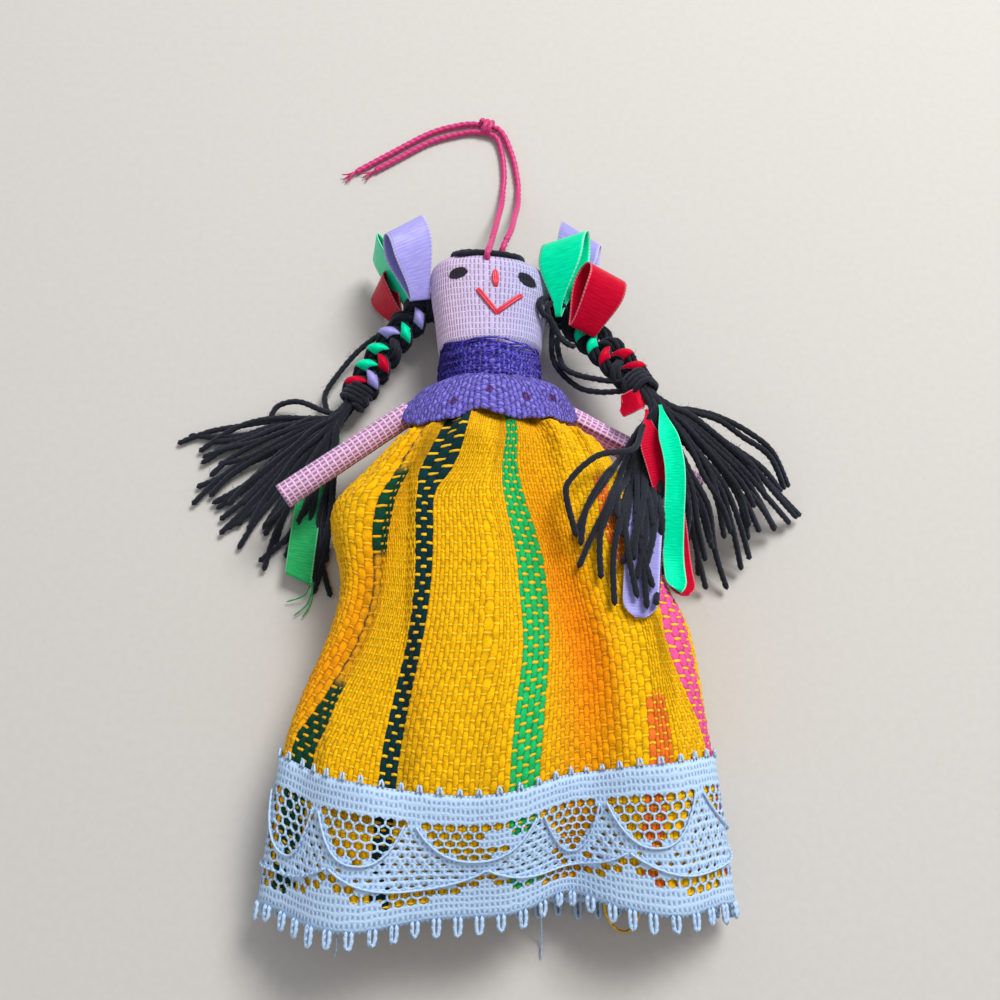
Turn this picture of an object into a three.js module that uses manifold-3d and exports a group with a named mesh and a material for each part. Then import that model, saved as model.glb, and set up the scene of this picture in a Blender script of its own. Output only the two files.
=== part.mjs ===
// Rag doll ornament, lying on its back as it is laid on a table. Millimetres.
// +Y points from the hem to the crown, +Z up from the table, +X to the viewer's right.
// The origin is on the flat back of the skirt, on the doll's centre line.

import * as THREE from 'three';
import { mergeVertices } from 'three/addons/utils/BufferGeometryUtils.js';
import Module from 'manifold-3d';

const wasm = await Module();
wasm.setup();

// Clearances and cloth
const GAP = 0.3;
const GAUZE = 0.5;
const KNIT = 1;
const SKIRT_CLOTH = 0.8;
const LACE_CLOTH = 0.5;
const RIBBON_CLOTH = 0.5;
const OVAL_POWER = 2.4;

// Head, a stuffed roll that is widest at the brow and drawn in at the neck
const HEAD_HEIGHT = 17.4;
const HEAD_WIDTH = 17.4;
const HEAD_DEPTH = 14;
const JAW_WIDTH = 16;
const JAW_DEPTH = 13;
const NECK_WIDTH = 13;
const NECK_DEPTH = 11.2;
const NECK_TUCK = 1.2;
const HAIR_THICKNESS = 1.1;
const FACE_EDGE = 1.6;
const FRINGE_DROP = 0.9;

// Stitched features of the face, measured from the middle of the face
const STITCH_WIDTH = 0.8;
const STITCH_PROUD = 0.35;
const STITCH_TOP_SHARE = 0.7;
const STITCH_TAPER = 0.35;
const NOSE_LENGTH = 3;
const NOSE_DROP = 6.8;
const NOSE_ASIDE = 0.9;
const MOUTH_ASIDE = 1.3;
const MOUTH_HALF_WIDTH = 3.5;
const MOUTH_CORNER_DROP = 9;
const MOUTH_SLOPE = 0.45;
const MOUTH_DIP_DROP = 12.5;
const MOUTH_DIP_GAP = 1.28;

// Trunk: a rolled core, a crinkled band round the neck and a short knitted blouse
const WAIST_Y = 12.6;
const BLOUSE_HEIGHT = 4.4;
const BLOUSE_WIDTH = 26.4;
const BLOUSE_DEPTH = 15.2;
const SHOULDER_WIDTH = 20.4;
const SHOULDER_LEVEL = 0.84;
const CHEST_LEVEL = 0.42;
const CHEST_WIDTH = 24.5;
const CHEST_DEPTH = 14.9;
const BAND_HEIGHT = 5.4;
const BAND_WALL = 1;
const BAND_WIDTH = NECK_WIDTH + 2 * (GAP + BAND_WALL);
const BAND_DEPTH = NECK_DEPTH + 2 * (GAP + BAND_WALL);
const BAND_CRINKLES = 4;
const CRINKLE_DEPTH = 0.25;
const CORE_WIDTH = 13.2;
const CORE_DEPTH = 8.6;
const CORE_BELOW_WAIST = 19;
const CORE_LEVELS = [
  { at: 0, swell: 1 },
  { at: 0.4, swell: 1.06 },
  { at: 0.9, swell: 0.9 },
  { at: 1, swell: 0.6 },
];

// Gathering thread round the skirt's collar, under the blouse
const COLLAR_HEIGHT = 2.6;
const THREAD_DIAMETER = 0.4;
const THREAD_PITCH = 0.85;
const THREAD_TURNS = 2;

// Skirt: a gathered tube of loose cloth. Each station is a share of the length,
// with the reach to the left and right of the centre line and the height of the front.
const SKIRT_LENGTH = 70.4;
const SKIRT_ROUNDNESS = 2.6;
const SKIRT_STATIONS = [
  { at: 0.012, left: 11.9, right: 12.4, front: 15.9 },
  { at: 0.065, left: 14.6, right: 16.6, front: 17.2 },
  { at: 0.13, left: 18.7, right: 19.4, front: 17.8 },
  { at: 0.21, left: 23.2, right: 21.8, front: 18.2 },
  { at: 0.37, left: 21.4, right: 25.6, front: 18.8 },
  { at: 0.47, left: 22.6, right: 28.6, front: 19.2 },
  { at: 0.66, left: 27.6, right: 30.4, front: 18.8 },
  { at: 0.81, left: 29.4, right: 31.8, front: 16.2 },
  { at: 1.02, left: 31.2, right: 33.4, front: 11.4 },
];
const SKIRT_BETWEEN = [0.095, 0.29, 0.56, 0.91];
const SKIRT_POINTS_ROUND = 42;
const BELLY_SHARE = 0.44;
const WAIST_GATHERS = 9;
const GATHER_DEPTH = 0.9;
const GATHER_FADE = 0.22;
const FRONT_FROM = 0.15;
const FRONT_FULL = 0.75;

// Main folds of the skirt's front: the line that each follows, its half width and its height
// at the waist, in the middle and at the hem. A negative height is a valley.
const FOLD_MIDDLE = 0.5;
const FOLDS = [
  {
    line: [[-8, 0], [-13.5, 0.18], [-18.8, 0.46], [-24, 0.6], [-27, 1]],
    half: 3,
    heights: [-0.6, -2.6, -0.4],
  },
  { line: [[5, 0], [8, 0.24], [14, 0.55], [10.5, 1]], half: 4.6, heights: [-0.8, -3.6, -3.8] },
  { line: [[-9, 0], [-12, 0.5], [-19, 1]], half: 7, heights: [0.3, 0.8, 3.2] },
  { line: [[12, 0], [18, 0.4], [25, 0.75], [24, 1]], half: 4, heights: [0.3, 1.2, 1.2] },
];

// The hem isn't level: the belly of the skirt hangs lower than the sides, and folds have their own droop.
const BELLY_DROOP = 5.6;
const DROOP_MIDDLE = -2;
const DROOP_HALF = 19;
const HEM_RETURN = 4.2;
const DROOP_PEAK = 0.74;
const HEM_DROOPS = [
  { x: -19, half: 9, drop: 2.8 },
  { x: 10.5, half: 5, drop: -2.6 },
  { x: 25, half: 6, drop: 1.4 },
];

// Lace sewn over the hem. The skirt's back lifts there by the lace that lies under it.
const LACE_WIDTH = 21;
const LACE_OVERHANG = 2;
const LACE_RISE = 0.05;

// Arms: rolls of gauze that turn in the armholes
const ARM_RADIUS = 2;
const ARM_FLARE = 1.12;
const ARM_LENGTH = 20.7;
const ARM_MOUTH_RADIUS = 1.2;
const ARM_MOUTH_DEPTH = 1.6;
const LEFT_ARM_ANGLE = 216;
const LEFT_ARM_LIFT = 1.4;
const RIGHT_ARM_ANGLE = -25;
const RIGHT_ARM_LIFT = -0.9;
const RIGHT_ARM_DROOP = 13;
const SHOULDER_OUT = 0.7;
const SHOULDER_DROP = 0.4;
const ARM_REST_LENGTH = 10.35;

// Ribbon loops sewn in at the top of each braid
const RIBBON_WIDTH = 7;
const LOOP_POINTS = 20;
const LOOP_PINCH = 0.35;

// Braids: the upper length is sewn to the head and the lower length hangs free from it
const BRAID_RADIUS = 3.1;
const BRAID_LOBE = 0.32;
const BRAID_SWAY = 0.35;
const PLAIT_PITCH = 5.2;
const PLAIT_STEPS = 4;
const BRAID_TOP_RADIUS = 2.67;
const BRAID_END_RADIUS = 2.48;
const BRAID_TAPER_FROM = 0.6;
const BRAID_POINTS = 10;
const TIE_NECK_RADIUS = 1.9;
const YARN_DIAMETER = 1.2;
const TIE_PITCH = 1.7;
const TIE_TURNS = 2;
const EAR_SHARE = 0.58;
const EAR_OUT = 2;

// Tassels: the yarn ends below each tie, spread in a fan
const TASSEL_BALL = 2.2;
const STRAND_SIDES = 5;
const STRAND_STEPS = 6;
const LEFT_STRANDS = 14;
const LEFT_FAN = [188, 262];
const LEFT_STRAND_LENGTH = 25.4;
const RIGHT_STRANDS = 15;
const RIGHT_FAN = [-32, -114];
const RIGHT_STRAND_LENGTH = 26.3;
const STRAND_UNEVEN = 0.128;
const STRAND_UNEVEN_PHASE = 2.4;
const STRAND_BEND = 7;
const STRAND_BEND_PHASE = 1.7;
const STRAND_ROOT = 0.88;
const LEFT_SINK_LENGTH = 24.3;
const RIGHT_BRIDGE_LENGTH = 16.15;
const RIGHT_SINK_LENGTH = 28;
const OVER_SKIRT = 0.9;
const DRAPE_RUN = 8;
const TAIL_LENGTH = 31;
const TAIL_WIDTH = 4.2;
const TAIL_LOFT = 1.3;
const TAIL_LOFT_RUN = 10;
const TAIL_ROOT_WIDTH = 2.31;
const TAIL_SPREAD = 0.4;
const TAIL_STEPS = 8;

// Hanging loop: two strands of twisted cord from the crown to a knot, and the two ends beyond it
const CORD_DIAMETER = 1.1;
const CORD_SIDES = 8;
const CORD_STEP = 2.64;
const CORD_FORWARD = 2;
const CORD_CLEAR = 0.88;
const KNOT_SIZE = [3.2, 2.6, 2];

// Heights and places that follow from the sizes above
const BLOUSE_TOP = WAIST_Y + BLOUSE_HEIGHT;
const NECK_Y = BLOUSE_TOP + GAP + BAND_HEIGHT;
const CROWN_Y = NECK_Y + HEAD_HEIGHT;
const BODY_Z = HEAD_DEPTH / 2 + HAIR_THICKNESS + GAP;
const HEM_SHARE = 1 - LACE_OVERHANG / SKIRT_LENGTH;
const LACE_TOP_SHARE = 1 - LACE_WIDTH / SKIRT_LENGTH;
const LACE_STACK = LACE_CLOTH + 2 * GAP;
const SKIRT_SHARES = [...SKIRT_STATIONS.map((station) => station.at), ...SKIRT_BETWEEN, LACE_TOP_SHARE]
  .filter((share) => share < HEM_SHARE)
  .sort((a, b) => a - b)
  .concat(HEM_SHARE);
const COLLAR_WIDTH = CORE_WIDTH + 2 * (GAP + SKIRT_CLOTH);
const COLLAR_DEPTH = CORE_DEPTH + 2 * (GAP + SKIRT_CLOTH);
const TIE_LENGTH = TIE_TURNS * TIE_PITCH + YARN_DIAMETER + GAP;

const v3 = (x, y, z) => new THREE.Vector3(x, y, z);
const mix = THREE.MathUtils.lerp;
const radians = THREE.MathUtils.degToRad;
const smooth = (from, to, x) => THREE.MathUtils.smoothstep(x, from, to);
const bump = (x, half) => Math.exp(-((x / half) ** 2));

// Value of one field at a share of the way, read smoothly through its stations.
function through(stations, field, share) {
  const last = stations.length - 1;
  let i = 0;
  while (i < last - 1 && share > stations[i + 1].at) i += 1;
  const a = stations[i];
  const b = stations[i + 1];
  const t = THREE.MathUtils.clamp((share - a.at) / (b.at - a.at), 0, 1);
  const before = stations[Math.max(i - 1, 0)];
  const after = stations[Math.min(i + 2, last)];
  const span = b.at - a.at;
  const slopeA = i === 0 ? b[field] - a[field] : (b[field] - before[field]) * span / (b.at - before.at);
  const slopeB = i + 2 > last ? b[field] - a[field] : (after[field] - a[field]) * span / (after.at - a.at);
  const t2 = t * t;
  const t3 = t2 * t;
  return (2 * t3 - 3 * t2 + 1) * a[field] + (t3 - 2 * t2 + t) * slopeA
    + (3 * t2 - 2 * t3) * b[field] + (t3 - t2) * slopeB;
}

// Skins over rings of points

function skin(points, triangles) {
  const geometry = new THREE.BufferGeometry();
  geometry.setAttribute('position', new THREE.Float32BufferAttribute(points.flatMap((p) => p.toArray()), 3));
  geometry.setIndex(triangles);
  return facingOut(geometry);
}

// Turns every face outwards, going by the sign of the enclosed volume.
function facingOut(geometry) {
  const place = geometry.getAttribute('position');
  const index = geometry.getIndex().array;
  const a = v3(0, 0, 0);
  const b = v3(0, 0, 0);
  const c = v3(0, 0, 0);
  let volume = 0;
  for (let i = 0; i < index.length; i += 3) {
    a.fromBufferAttribute(place, index[i]);
    b.fromBufferAttribute(place, index[i + 1]);
    c.fromBufferAttribute(place, index[i + 2]);
    volume += a.dot(b.cross(c));
  }
  if (volume < 0) {
    const turned = Array.from(index);
    for (let i = 0; i < turned.length; i += 3) [turned[i], turned[i + 1]] = [turned[i + 1], turned[i]];
    geometry.setIndex(turned);
  }
  return geometry;
}

// Joins two rings by triangles. Rings that run back up a wall lean the other way, so its faces fold alike.
function bridge(triangles, count, from, to, back = false) {
  for (let i = 0; i < count; i += 1) {
    const j = (i + 1) % count;
    if (back) triangles.push(from + i, from + j, to + i, from + j, to + j, to + i);
    else triangles.push(from + i, from + j, to + j, from + i, to + j, to + i);
  }
}

function fan(triangles, count, from, apex, flip) {
  for (let i = 0; i < count; i += 1) {
    const j = (i + 1) % count;
    if (flip) triangles.push(from + j, from + i, apex);
    else triangles.push(from + i, from + j, apex);
  }
}

function centre(ring) {
  const sum = ring.reduce((total, p) => total.add(p), v3(0, 0, 0));
  return sum.divideScalar(ring.length);
}

// Solid over rings in order, closed at both ends by a fan to a point.
function loft(rings, startTip, endTip) {
  const count = rings[0].length;
  const last = rings[rings.length - 1];
  const points = [...rings.flat(), startTip ?? centre(rings[0]), endTip ?? centre(last)];
  const triangles = [];
  for (let r = 0; r < rings.length - 1; r += 1) bridge(triangles, count, r * count, (r + 1) * count);
  fan(triangles, count, 0, rings.length * count, true);
  fan(triangles, count, (rings.length - 1) * count, rings.length * count + 1, false);
  return skin(points, triangles);
}

// Wall between an outer and an inner run of rings, open at both ends.
function sleeve(outer, inner) {
  const rings = [...outer, ...[...inner].reverse()];
  const count = rings[0].length;
  const triangles = [];
  rings.forEach((ring, r) => (
    bridge(triangles, count, r * count, ((r + 1) % rings.length) * count, r >= outer.length)));
  return skin(rings.flat(), triangles);
}

// Wall like a cup: open at the first rings, closed at the last ones.
function cup(outer, inner, outerTip, innerTip) {
  const rings = [...[...outer].reverse(), ...inner];
  const count = rings[0].length;
  const points = [...rings.flat(), outerTip, innerTip];
  const triangles = [];
  for (let r = 0; r < rings.length - 1; r += 1) bridge(triangles, count, r * count, (r + 1) * count);
  fan(triangles, count, 0, rings.length * count, true);
  fan(triangles, count, (rings.length - 1) * count, rings.length * count + 1, false);
  return skin(points, triangles);
}

// Ring across the doll at one height: an oval with squared shoulders.
function oval(y, width, depth, count) {
  const ring = [];
  for (let i = 0; i < count; i += 1) {
    const angle = (i / count) * Math.PI * 2;
    const x = Math.sign(Math.cos(angle)) * Math.abs(Math.cos(angle)) ** (2 / OVAL_POWER);
    const z = Math.sign(Math.sin(angle)) * Math.abs(Math.sin(angle)) ** (2 / OVAL_POWER);
    ring.push(v3(x * width / 2, y, BODY_Z + z * depth / 2));
  }
  return ring;
}

// Ring square to a direction.
function hoop(at, direction, radiusAt, count) {
  const forward = direction.clone().normalize();
  const side = v3(0, 0, 1).cross(forward).normalize();
  const up = forward.clone().cross(side);
  const ring = [];
  for (let i = 0; i < count; i += 1) {
    const angle = (i / count) * Math.PI * 2;
    const radius = radiusAt(angle);
    const out = side.clone().multiplyScalar(Math.cos(angle) * radius);
    ring.push(at.clone().add(out).addScaledVector(up, Math.sin(angle) * radius));
  }
  return ring;
}

// Tube of even thickness along a curve.
function tube(curve, diameter, sides, steps) {
  const section = new THREE.Shape();
  for (let i = 0; i < sides; i += 1) {
    const angle = (i / sides) * Math.PI * 2;
    const x = Math.cos(angle) * diameter / 2;
    const y = Math.sin(angle) * diameter / 2;
    if (i === 0) section.moveTo(x, y);
    else section.lineTo(x, y);
  }
  const geometry = new THREE.ExtrudeGeometry(section, { steps, extrudePath: curve, bevelEnabled: false });
  return welded(geometry);
}

// Booleans

function welded(geometry) {
  geometry.deleteAttribute('normal');
  geometry.deleteAttribute('uv');
  return facingOut(mergeVertices(geometry, 1e-4));
}

function solid(geometry) {
  const vertProperties = new Float32Array(geometry.getAttribute('position').array);
  const triVerts = new Uint32Array(geometry.getIndex().array);
  return new wasm.Manifold(new wasm.Mesh({ numProp: 3, vertProperties, triVerts }));
}

function geometryOf(body) {
  const mesh = body.getMesh();
  const geometry = new THREE.BufferGeometry();
  geometry.setAttribute('position', new THREE.Float32BufferAttribute(Array.from(mesh.vertProperties), 3));
  geometry.setIndex(Array.from(mesh.triVerts));
  return geometry;
}

function ball(at, radius, detail = 12) {
  const geometry = new THREE.SphereGeometry(radius, detail, Math.round(detail / 2) + 1);
  geometry.translate(at.x, at.y, at.z);
  return solid(welded(geometry));
}

function block(low, high) {
  const size = high.clone().sub(low);
  const geometry = new THREE.BoxGeometry(size.x, size.y, size.z);
  geometry.translate((low.x + high.x) / 2, (low.y + high.y) / 2, (low.z + high.z) / 2);
  return solid(welded(geometry));
}

// The assembly

const doll = new THREE.Group();
const finishes = {
  gauze: new THREE.MeshStandardMaterial({ color: '#dcb9cf', roughness: 0.9, metalness: 0 }),
  stuffing: new THREE.MeshStandardMaterial({ color: '#e8e2d6', roughness: 1, metalness: 0 }),
  yarn: new THREE.MeshStandardMaterial({ color: '#0d0d10', roughness: 0.95, metalness: 0 }),
  stitch: new THREE.MeshStandardMaterial({ color: '#d4203c', roughness: 0.6, metalness: 0 }),
  band: new THREE.MeshStandardMaterial({ color: '#3a2a9c', roughness: 0.85, metalness: 0 }),
  knit: new THREE.MeshStandardMaterial({ color: '#6a55d6', roughness: 0.9, metalness: 0 }),
  skirt: new THREE.MeshStandardMaterial({ color: '#f5b00a', roughness: 0.9, metalness: 0 }),
  lace: new THREE.MeshStandardMaterial({ color: '#eef0f5', roughness: 0.8, metalness: 0 }),
  lilac: new THREE.MeshStandardMaterial({ color: '#b9a4dd', roughness: 0.35, metalness: 0 }),
  green: new THREE.MeshStandardMaterial({ color: '#12b35c', roughness: 0.35, metalness: 0 }),
  red: new THREE.MeshStandardMaterial({ color: '#b3121f', roughness: 0.35, metalness: 0 }),
  cord: new THREE.MeshStandardMaterial({ color: '#c4186a', roughness: 0.6, metalness: 0 }),
};

function piece(name, geometry, finish) {
  const mesh = new THREE.Mesh(geometry, finishes[finish]);
  mesh.name = name;
  doll.add(mesh);
}

// Head: stuffing in a cover of gauze, which is closed over the crown and tucked into the neck band

const HEAD_POINTS = 24;
const HEAD_LEVELS = [0.2, 0.42, 0.64, 0.8, 0.88, 0.945, 0.985];
const DOME_START = 0.78;
const DOME_POWER = 2.6;
const STUFFING_LEVELS = 5;

function headRing(share, out) {
  const dome = Math.max(0, (share - DOME_START) / (1 - DOME_START));
  const narrow = (1 - dome ** DOME_POWER) ** (1 / DOME_POWER);
  const swell = smooth(0, DOME_START, share);
  const width = mix(JAW_WIDTH, HEAD_WIDTH, swell) * narrow + 2 * out;
  const depth = mix(JAW_DEPTH, HEAD_DEPTH, swell) * narrow + 2 * out;
  return oval(NECK_Y + GAP + (HEAD_HEIGHT - GAP) * share + out * dome, width, depth, HEAD_POINTS);
}

function headSolid(out) {
  const rings = [0, ...HEAD_LEVELS].map((share) => headRing(share, out));
  return loft(rings, null, v3(0, CROWN_Y + out, BODY_Z));
}

function neckRings(out) {
  const width = NECK_WIDTH + 2 * out;
  const depth = NECK_DEPTH + 2 * out;
  const step = NECK_Y + GAP - Math.min(0, out);
  return [oval(NECK_Y - NECK_TUCK, width, depth, HEAD_POINTS), oval(step, width, depth, HEAD_POINTS)];
}

function headCover() {
  const outer = [...neckRings(0), ...[0, ...HEAD_LEVELS].map((share) => headRing(share, 0))];
  const inner = [...neckRings(-GAUZE), ...[0, ...HEAD_LEVELS].map((share) => headRing(share, -GAUZE))];
  inner.slice(2).forEach((ring, i) => ring.forEach((p) => {
    p.y += i === 0 ? GAUZE : 0;
  }));
  return cup(outer, inner, v3(0, CROWN_Y, BODY_Z), v3(0, CROWN_Y - GAUZE, BODY_Z));
}

function headStuffing() {
  const out = -GAUZE - GAP;
  const neck = neckRings(out);
  const rings = [...neck, ...HEAD_LEVELS.slice(0, STUFFING_LEVELS).map((share) => headRing(share, out))];
  return loft(rings, null, v3(0, CROWN_Y + out, BODY_Z));
}

// Hair: yarn laid over the crown and down the back of the head
function hairCap() {
  const far = HEAD_WIDTH;
  const outer = solid(headSolid(GAP + HAIR_THICKNESS));
  const inner = solid(headSolid(GAP));
  const face = block(
    v3(-far, NECK_Y - far, BODY_Z + FACE_EDGE),
    v3(far, CROWN_Y - FRINGE_DROP, BODY_Z + far),
  );
  const below = block(v3(-far, NECK_Y - far, -far), v3(far, NECK_Y + 2 * GAP, BODY_Z + far));
  return geometryOf(outer.subtract(inner).subtract(face).subtract(below));
}

// Straight stitches on the face, laid along its curve
function frontOfHead(x, drop) {
  const share = (HEAD_HEIGHT - drop) / HEAD_HEIGHT;
  const ring = headRing(share, 0);
  let best = ring[0];
  for (let i = 0; i < ring.length; i += 1) {
    const a = ring[i];
    const b = ring[(i + 1) % ring.length];
    const inside = (a.x - x) * (b.x - x) <= 0 && a.z > BODY_Z && b.z > BODY_Z;
    if (inside && a.x !== b.x) best = a.clone().lerp(b, (x - a.x) / (b.x - a.x));
  }
  return v3(x, CROWN_Y - drop, best.z);
}

const STITCH_STOPS = [0, 0.18, 0.5, 0.82, 1];

function stitch(from, to) {
  const across = v3(to[1] - from[1], to[0] - from[0], 0).normalize();
  const rings = STITCH_STOPS.map((t) => {
    const at = frontOfHead(mix(from[0], to[0], t), mix(from[1], to[1], t));
    const half = STITCH_WIDTH / 2 * mix(1, STITCH_TAPER, (2 * t - 1) ** 2);
    const low = at.z + GAP;
    const corner = (side, height) => at.clone().addScaledVector(across, side * half).setZ(low + height);
    const top = STITCH_TOP_SHARE;
    return [corner(-1, 0), corner(1, 0), corner(top, STITCH_PROUD), corner(-top, STITCH_PROUD)];
  });
  return loft(rings);
}

piece('head_cover', headCover(), 'gauze');
piece('head_stuffing', headStuffing(), 'stuffing');
piece('hair_cap', hairCap(), 'yarn');
const noseTop = [NOSE_ASIDE, NOSE_DROP - NOSE_LENGTH / 2];
const noseTip = [NOSE_ASIDE, NOSE_DROP + NOSE_LENGTH / 2];
piece('nose_stitch', stitch(noseTop, noseTip), 'stitch');
for (const side of [-1, 1]) {
  const start = [MOUTH_ASIDE + side * MOUTH_HALF_WIDTH, MOUTH_CORNER_DROP + side * MOUTH_SLOPE];
  const dip = [MOUTH_ASIDE + side * MOUTH_DIP_GAP / 2, MOUTH_DIP_DROP];
  piece(side < 0 ? 'mouth_stitch_left' : 'mouth_stitch_right', stitch(start, dip), 'stitch');
}

// Trunk

const TRUNK_POINTS = 20;
const CORE_TOP = NECK_Y - NECK_TUCK - GAP;
const CORE_END = WAIST_Y - CORE_BELOW_WAIST;

function torsoCore() {
  const neckWidth = NECK_WIDTH - 2 * (GAUZE + GAP);
  const neckDepth = NECK_DEPTH - 2 * (GAUZE + GAP);
  const rings = [
    oval(CORE_TOP, neckWidth, neckDepth, TRUNK_POINTS),
    oval(BLOUSE_TOP, CORE_WIDTH, CORE_DEPTH, TRUNK_POINTS),
    ...CORE_LEVELS.map(({ at, swell }) => (
      oval(mix(WAIST_Y, CORE_END, at), CORE_WIDTH * swell, CORE_DEPTH * swell, TRUNK_POINTS))),
  ];
  return loft(rings);
}

// Crinkled gauze wound round the neck
function neckBand() {
  const bottom = BLOUSE_TOP + GAP;
  const levels = BAND_CRINKLES * 2;
  const outer = [];
  for (let i = 0; i <= levels; i += 1) {
    const pinch = i % 2 === 0 ? 2 * CRINKLE_DEPTH : 0;
    const y = mix(bottom, NECK_Y, i / levels);
    outer.push(oval(y, BAND_WIDTH - pinch, BAND_DEPTH - pinch, TRUNK_POINTS));
  }
  const width = BAND_WIDTH - 2 * BAND_WALL;
  const depth = BAND_DEPTH - 2 * BAND_WALL;
  const inner = [bottom, NECK_Y].map((y) => oval(y, width, depth, TRUNK_POINTS));
  return sleeve(outer, inner);
}

// Blouse: a short flared cape of knit, cut open where each arm comes out
function blouse(armholes) {
  const bottom = WAIST_Y + GAP;
  const levels = [
    [1, BAND_WIDTH, BAND_DEPTH],
    [SHOULDER_LEVEL, SHOULDER_WIDTH, (BAND_DEPTH + BLOUSE_DEPTH) / 2],
    [CHEST_LEVEL, CHEST_WIDTH, CHEST_DEPTH],
    [0, BLOUSE_WIDTH, BLOUSE_DEPTH],
  ];
  const rings = (wall) => levels.map(([share, width, depth]) => (
    oval(mix(bottom, BLOUSE_TOP, share), width - 2 * wall, depth - 2 * wall, TRUNK_POINTS * 2)));
  return geometryOf(solid(sleeve(rings(0), rings(KNIT))).subtract(armholes));
}

// Skirt

function foldLine(fold, share) {
  const stations = fold.line.map(([x, at]) => ({ x, at }));
  return through(stations, 'x', share);
}

function foldHeight(fold, share) {
  const [waist, middle, hem] = fold.heights;
  if (share < FOLD_MIDDLE) return mix(waist, middle, smooth(0, FOLD_MIDDLE, share));
  return mix(middle, hem, smooth(FOLD_MIDDLE, 1, share));
}

function foldsAt(x, share) {
  const heights = FOLDS.map((fold) => (
    foldHeight(fold, share) * bump(x - foldLine(fold, share), fold.half)));
  return heights.reduce((sum, height) => sum + height, 0);
}

function droopAt(x, share) {
  const belly = BELLY_DROOP * smooth(0, DROOP_PEAK, share) - HEM_RETURN * smooth(DROOP_PEAK, 1, share);
  const folds = HEM_DROOPS.reduce((sum, fold) => sum + fold.drop * bump(x - fold.x, fold.half), 0);
  return belly * bump(x - DROOP_MIDDLE, DROOP_HALF) + folds * share ** 3;
}

// The back of the skirt lies flat on the table and lifts by the lace's thickness above the hem.
function backOf(share) {
  return LACE_STACK * smooth(LACE_TOP_SHARE - LACE_RISE, LACE_TOP_SHARE, share);
}

// Point of the skirt's outer face: the angle runs from the right edge over the front to the left edge.
function skirtPoint(angle, share) {
  const cos = Math.cos(angle);
  const sin = Math.sin(angle);
  const across = Math.sign(cos) * Math.abs(cos) ** (2 / SKIRT_ROUNDNESS);
  const rise = Math.sign(sin) * Math.abs(sin) ** (2 / SKIRT_ROUNDNESS);
  const x = across * through(SKIRT_STATIONS, across < 0 ? 'left' : 'right', share);
  const front = through(SKIRT_STATIONS, 'front', share);
  const belly = front * BELLY_SHARE;
  const facing = smooth(FRONT_FROM, FRONT_FULL, sin);
  const gather = GATHER_DEPTH * (1 - smooth(0, GATHER_FADE, share)) * Math.cos(WAIST_GATHERS * 2 * angle);
  const height = belly + rise * (front - belly) + facing * (foldsAt(x, share) + gather);
  const y = WAIST_Y - share * SKIRT_LENGTH - facing * droopAt(x, share);
  return v3(x, y, Math.max(height, backOf(share)));
}

// Height of yarn laid over a place: the skirt's top, falling away to the table beyond its edge.
function skirtTop(x, y) {
  const share = THREE.MathUtils.clamp((WAIST_Y - y) / SKIRT_LENGTH, 0, 1);
  const reach = through(SKIRT_STATIONS, x < 0 ? 'left' : 'right', share);
  const across = Math.min(Math.abs(x) / (reach + SKIRT_CLOTH), 1);
  const beyond = Math.max(Math.abs(x) - reach - SKIRT_CLOTH, 0);
  const front = through(SKIRT_STATIONS, 'front', share) * (1 - smooth(0, DRAPE_RUN, beyond));
  const rise = (1 - across ** SKIRT_ROUNDNESS) ** (1 / SKIRT_ROUNDNESS);
  const gather = GATHER_DEPTH * (1 - smooth(0, GATHER_FADE, share));
  const pleats = beyond > 0 ? 0 : Math.max(foldsAt(x, share), 0) + gather;
  return front * mix(BELLY_SHARE, 1, rise) + pleats;
}

// Ring of the skirt moved out (or in, if negative) square to the cloth.
function skirtRing(share, out) {
  const turn = Math.PI * 2 / SKIRT_POINTS_ROUND;
  const ring = [];
  for (let i = 0; i < SKIRT_POINTS_ROUND; i += 1) {
    const at = skirtPoint(i * turn, share);
    const before = skirtPoint((i - 0.5) * turn, share);
    const after = skirtPoint((i + 0.5) * turn, share);
    const normal = v3(after.z - before.z, 0, before.x - after.x).normalize();
    ring.push(at.addScaledVector(normal, out));
  }
  return ring;
}

function collarRing(y, wall) {
  return oval(y, COLLAR_WIDTH - 2 * wall, COLLAR_DEPTH - 2 * wall, SKIRT_POINTS_ROUND);
}

function skirt(armholes) {
  const collar = [WAIST_Y + COLLAR_HEIGHT, WAIST_Y];
  const outer = [...collar.map((y) => collarRing(y, 0)), ...SKIRT_SHARES.map((share) => skirtRing(share, 0))];
  const innerShares = SKIRT_SHARES.filter((share, i) => i % 2 === 0 || share === HEM_SHARE);
  const inner = [
    ...collar.map((y) => collarRing(y - SKIRT_CLOTH, SKIRT_CLOTH)),
    ...innerShares.map((share) => skirtRing(share, -SKIRT_CLOTH)),
  ];
  inner[0].forEach((p) => { p.y += SKIRT_CLOTH; });
  return geometryOf(solid(sleeve(outer, inner)).subtract(armholes));
}

// Lace: a flat edging that follows the skirt's folds just outside the cloth
function laceTrim() {
  const shares = [...SKIRT_SHARES.filter((share) => share >= LACE_TOP_SHARE), 1];
  const outer = shares.map((share) => skirtRing(share, GAP + LACE_CLOTH));
  const inner = shares.map((share) => skirtRing(share, GAP));
  return sleeve(outer, inner);
}

// Least gap between the turns of a winding, measured on points along it.
function leastGap(points, pointsPerTurn, diameter) {
  let least = Infinity;
  for (let i = 0; i < points.length; i += 1) {
    for (let j = i + Math.ceil(pointsPerTurn / 2); j < points.length; j += 1) {
      least = Math.min(least, points[i].distanceTo(points[j]) - diameter);
    }
  }
  return least;
}

const TURN_POINTS = 16;
const THREAD_SIDES = 5;
const YARN_SIDES = 6;

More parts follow.
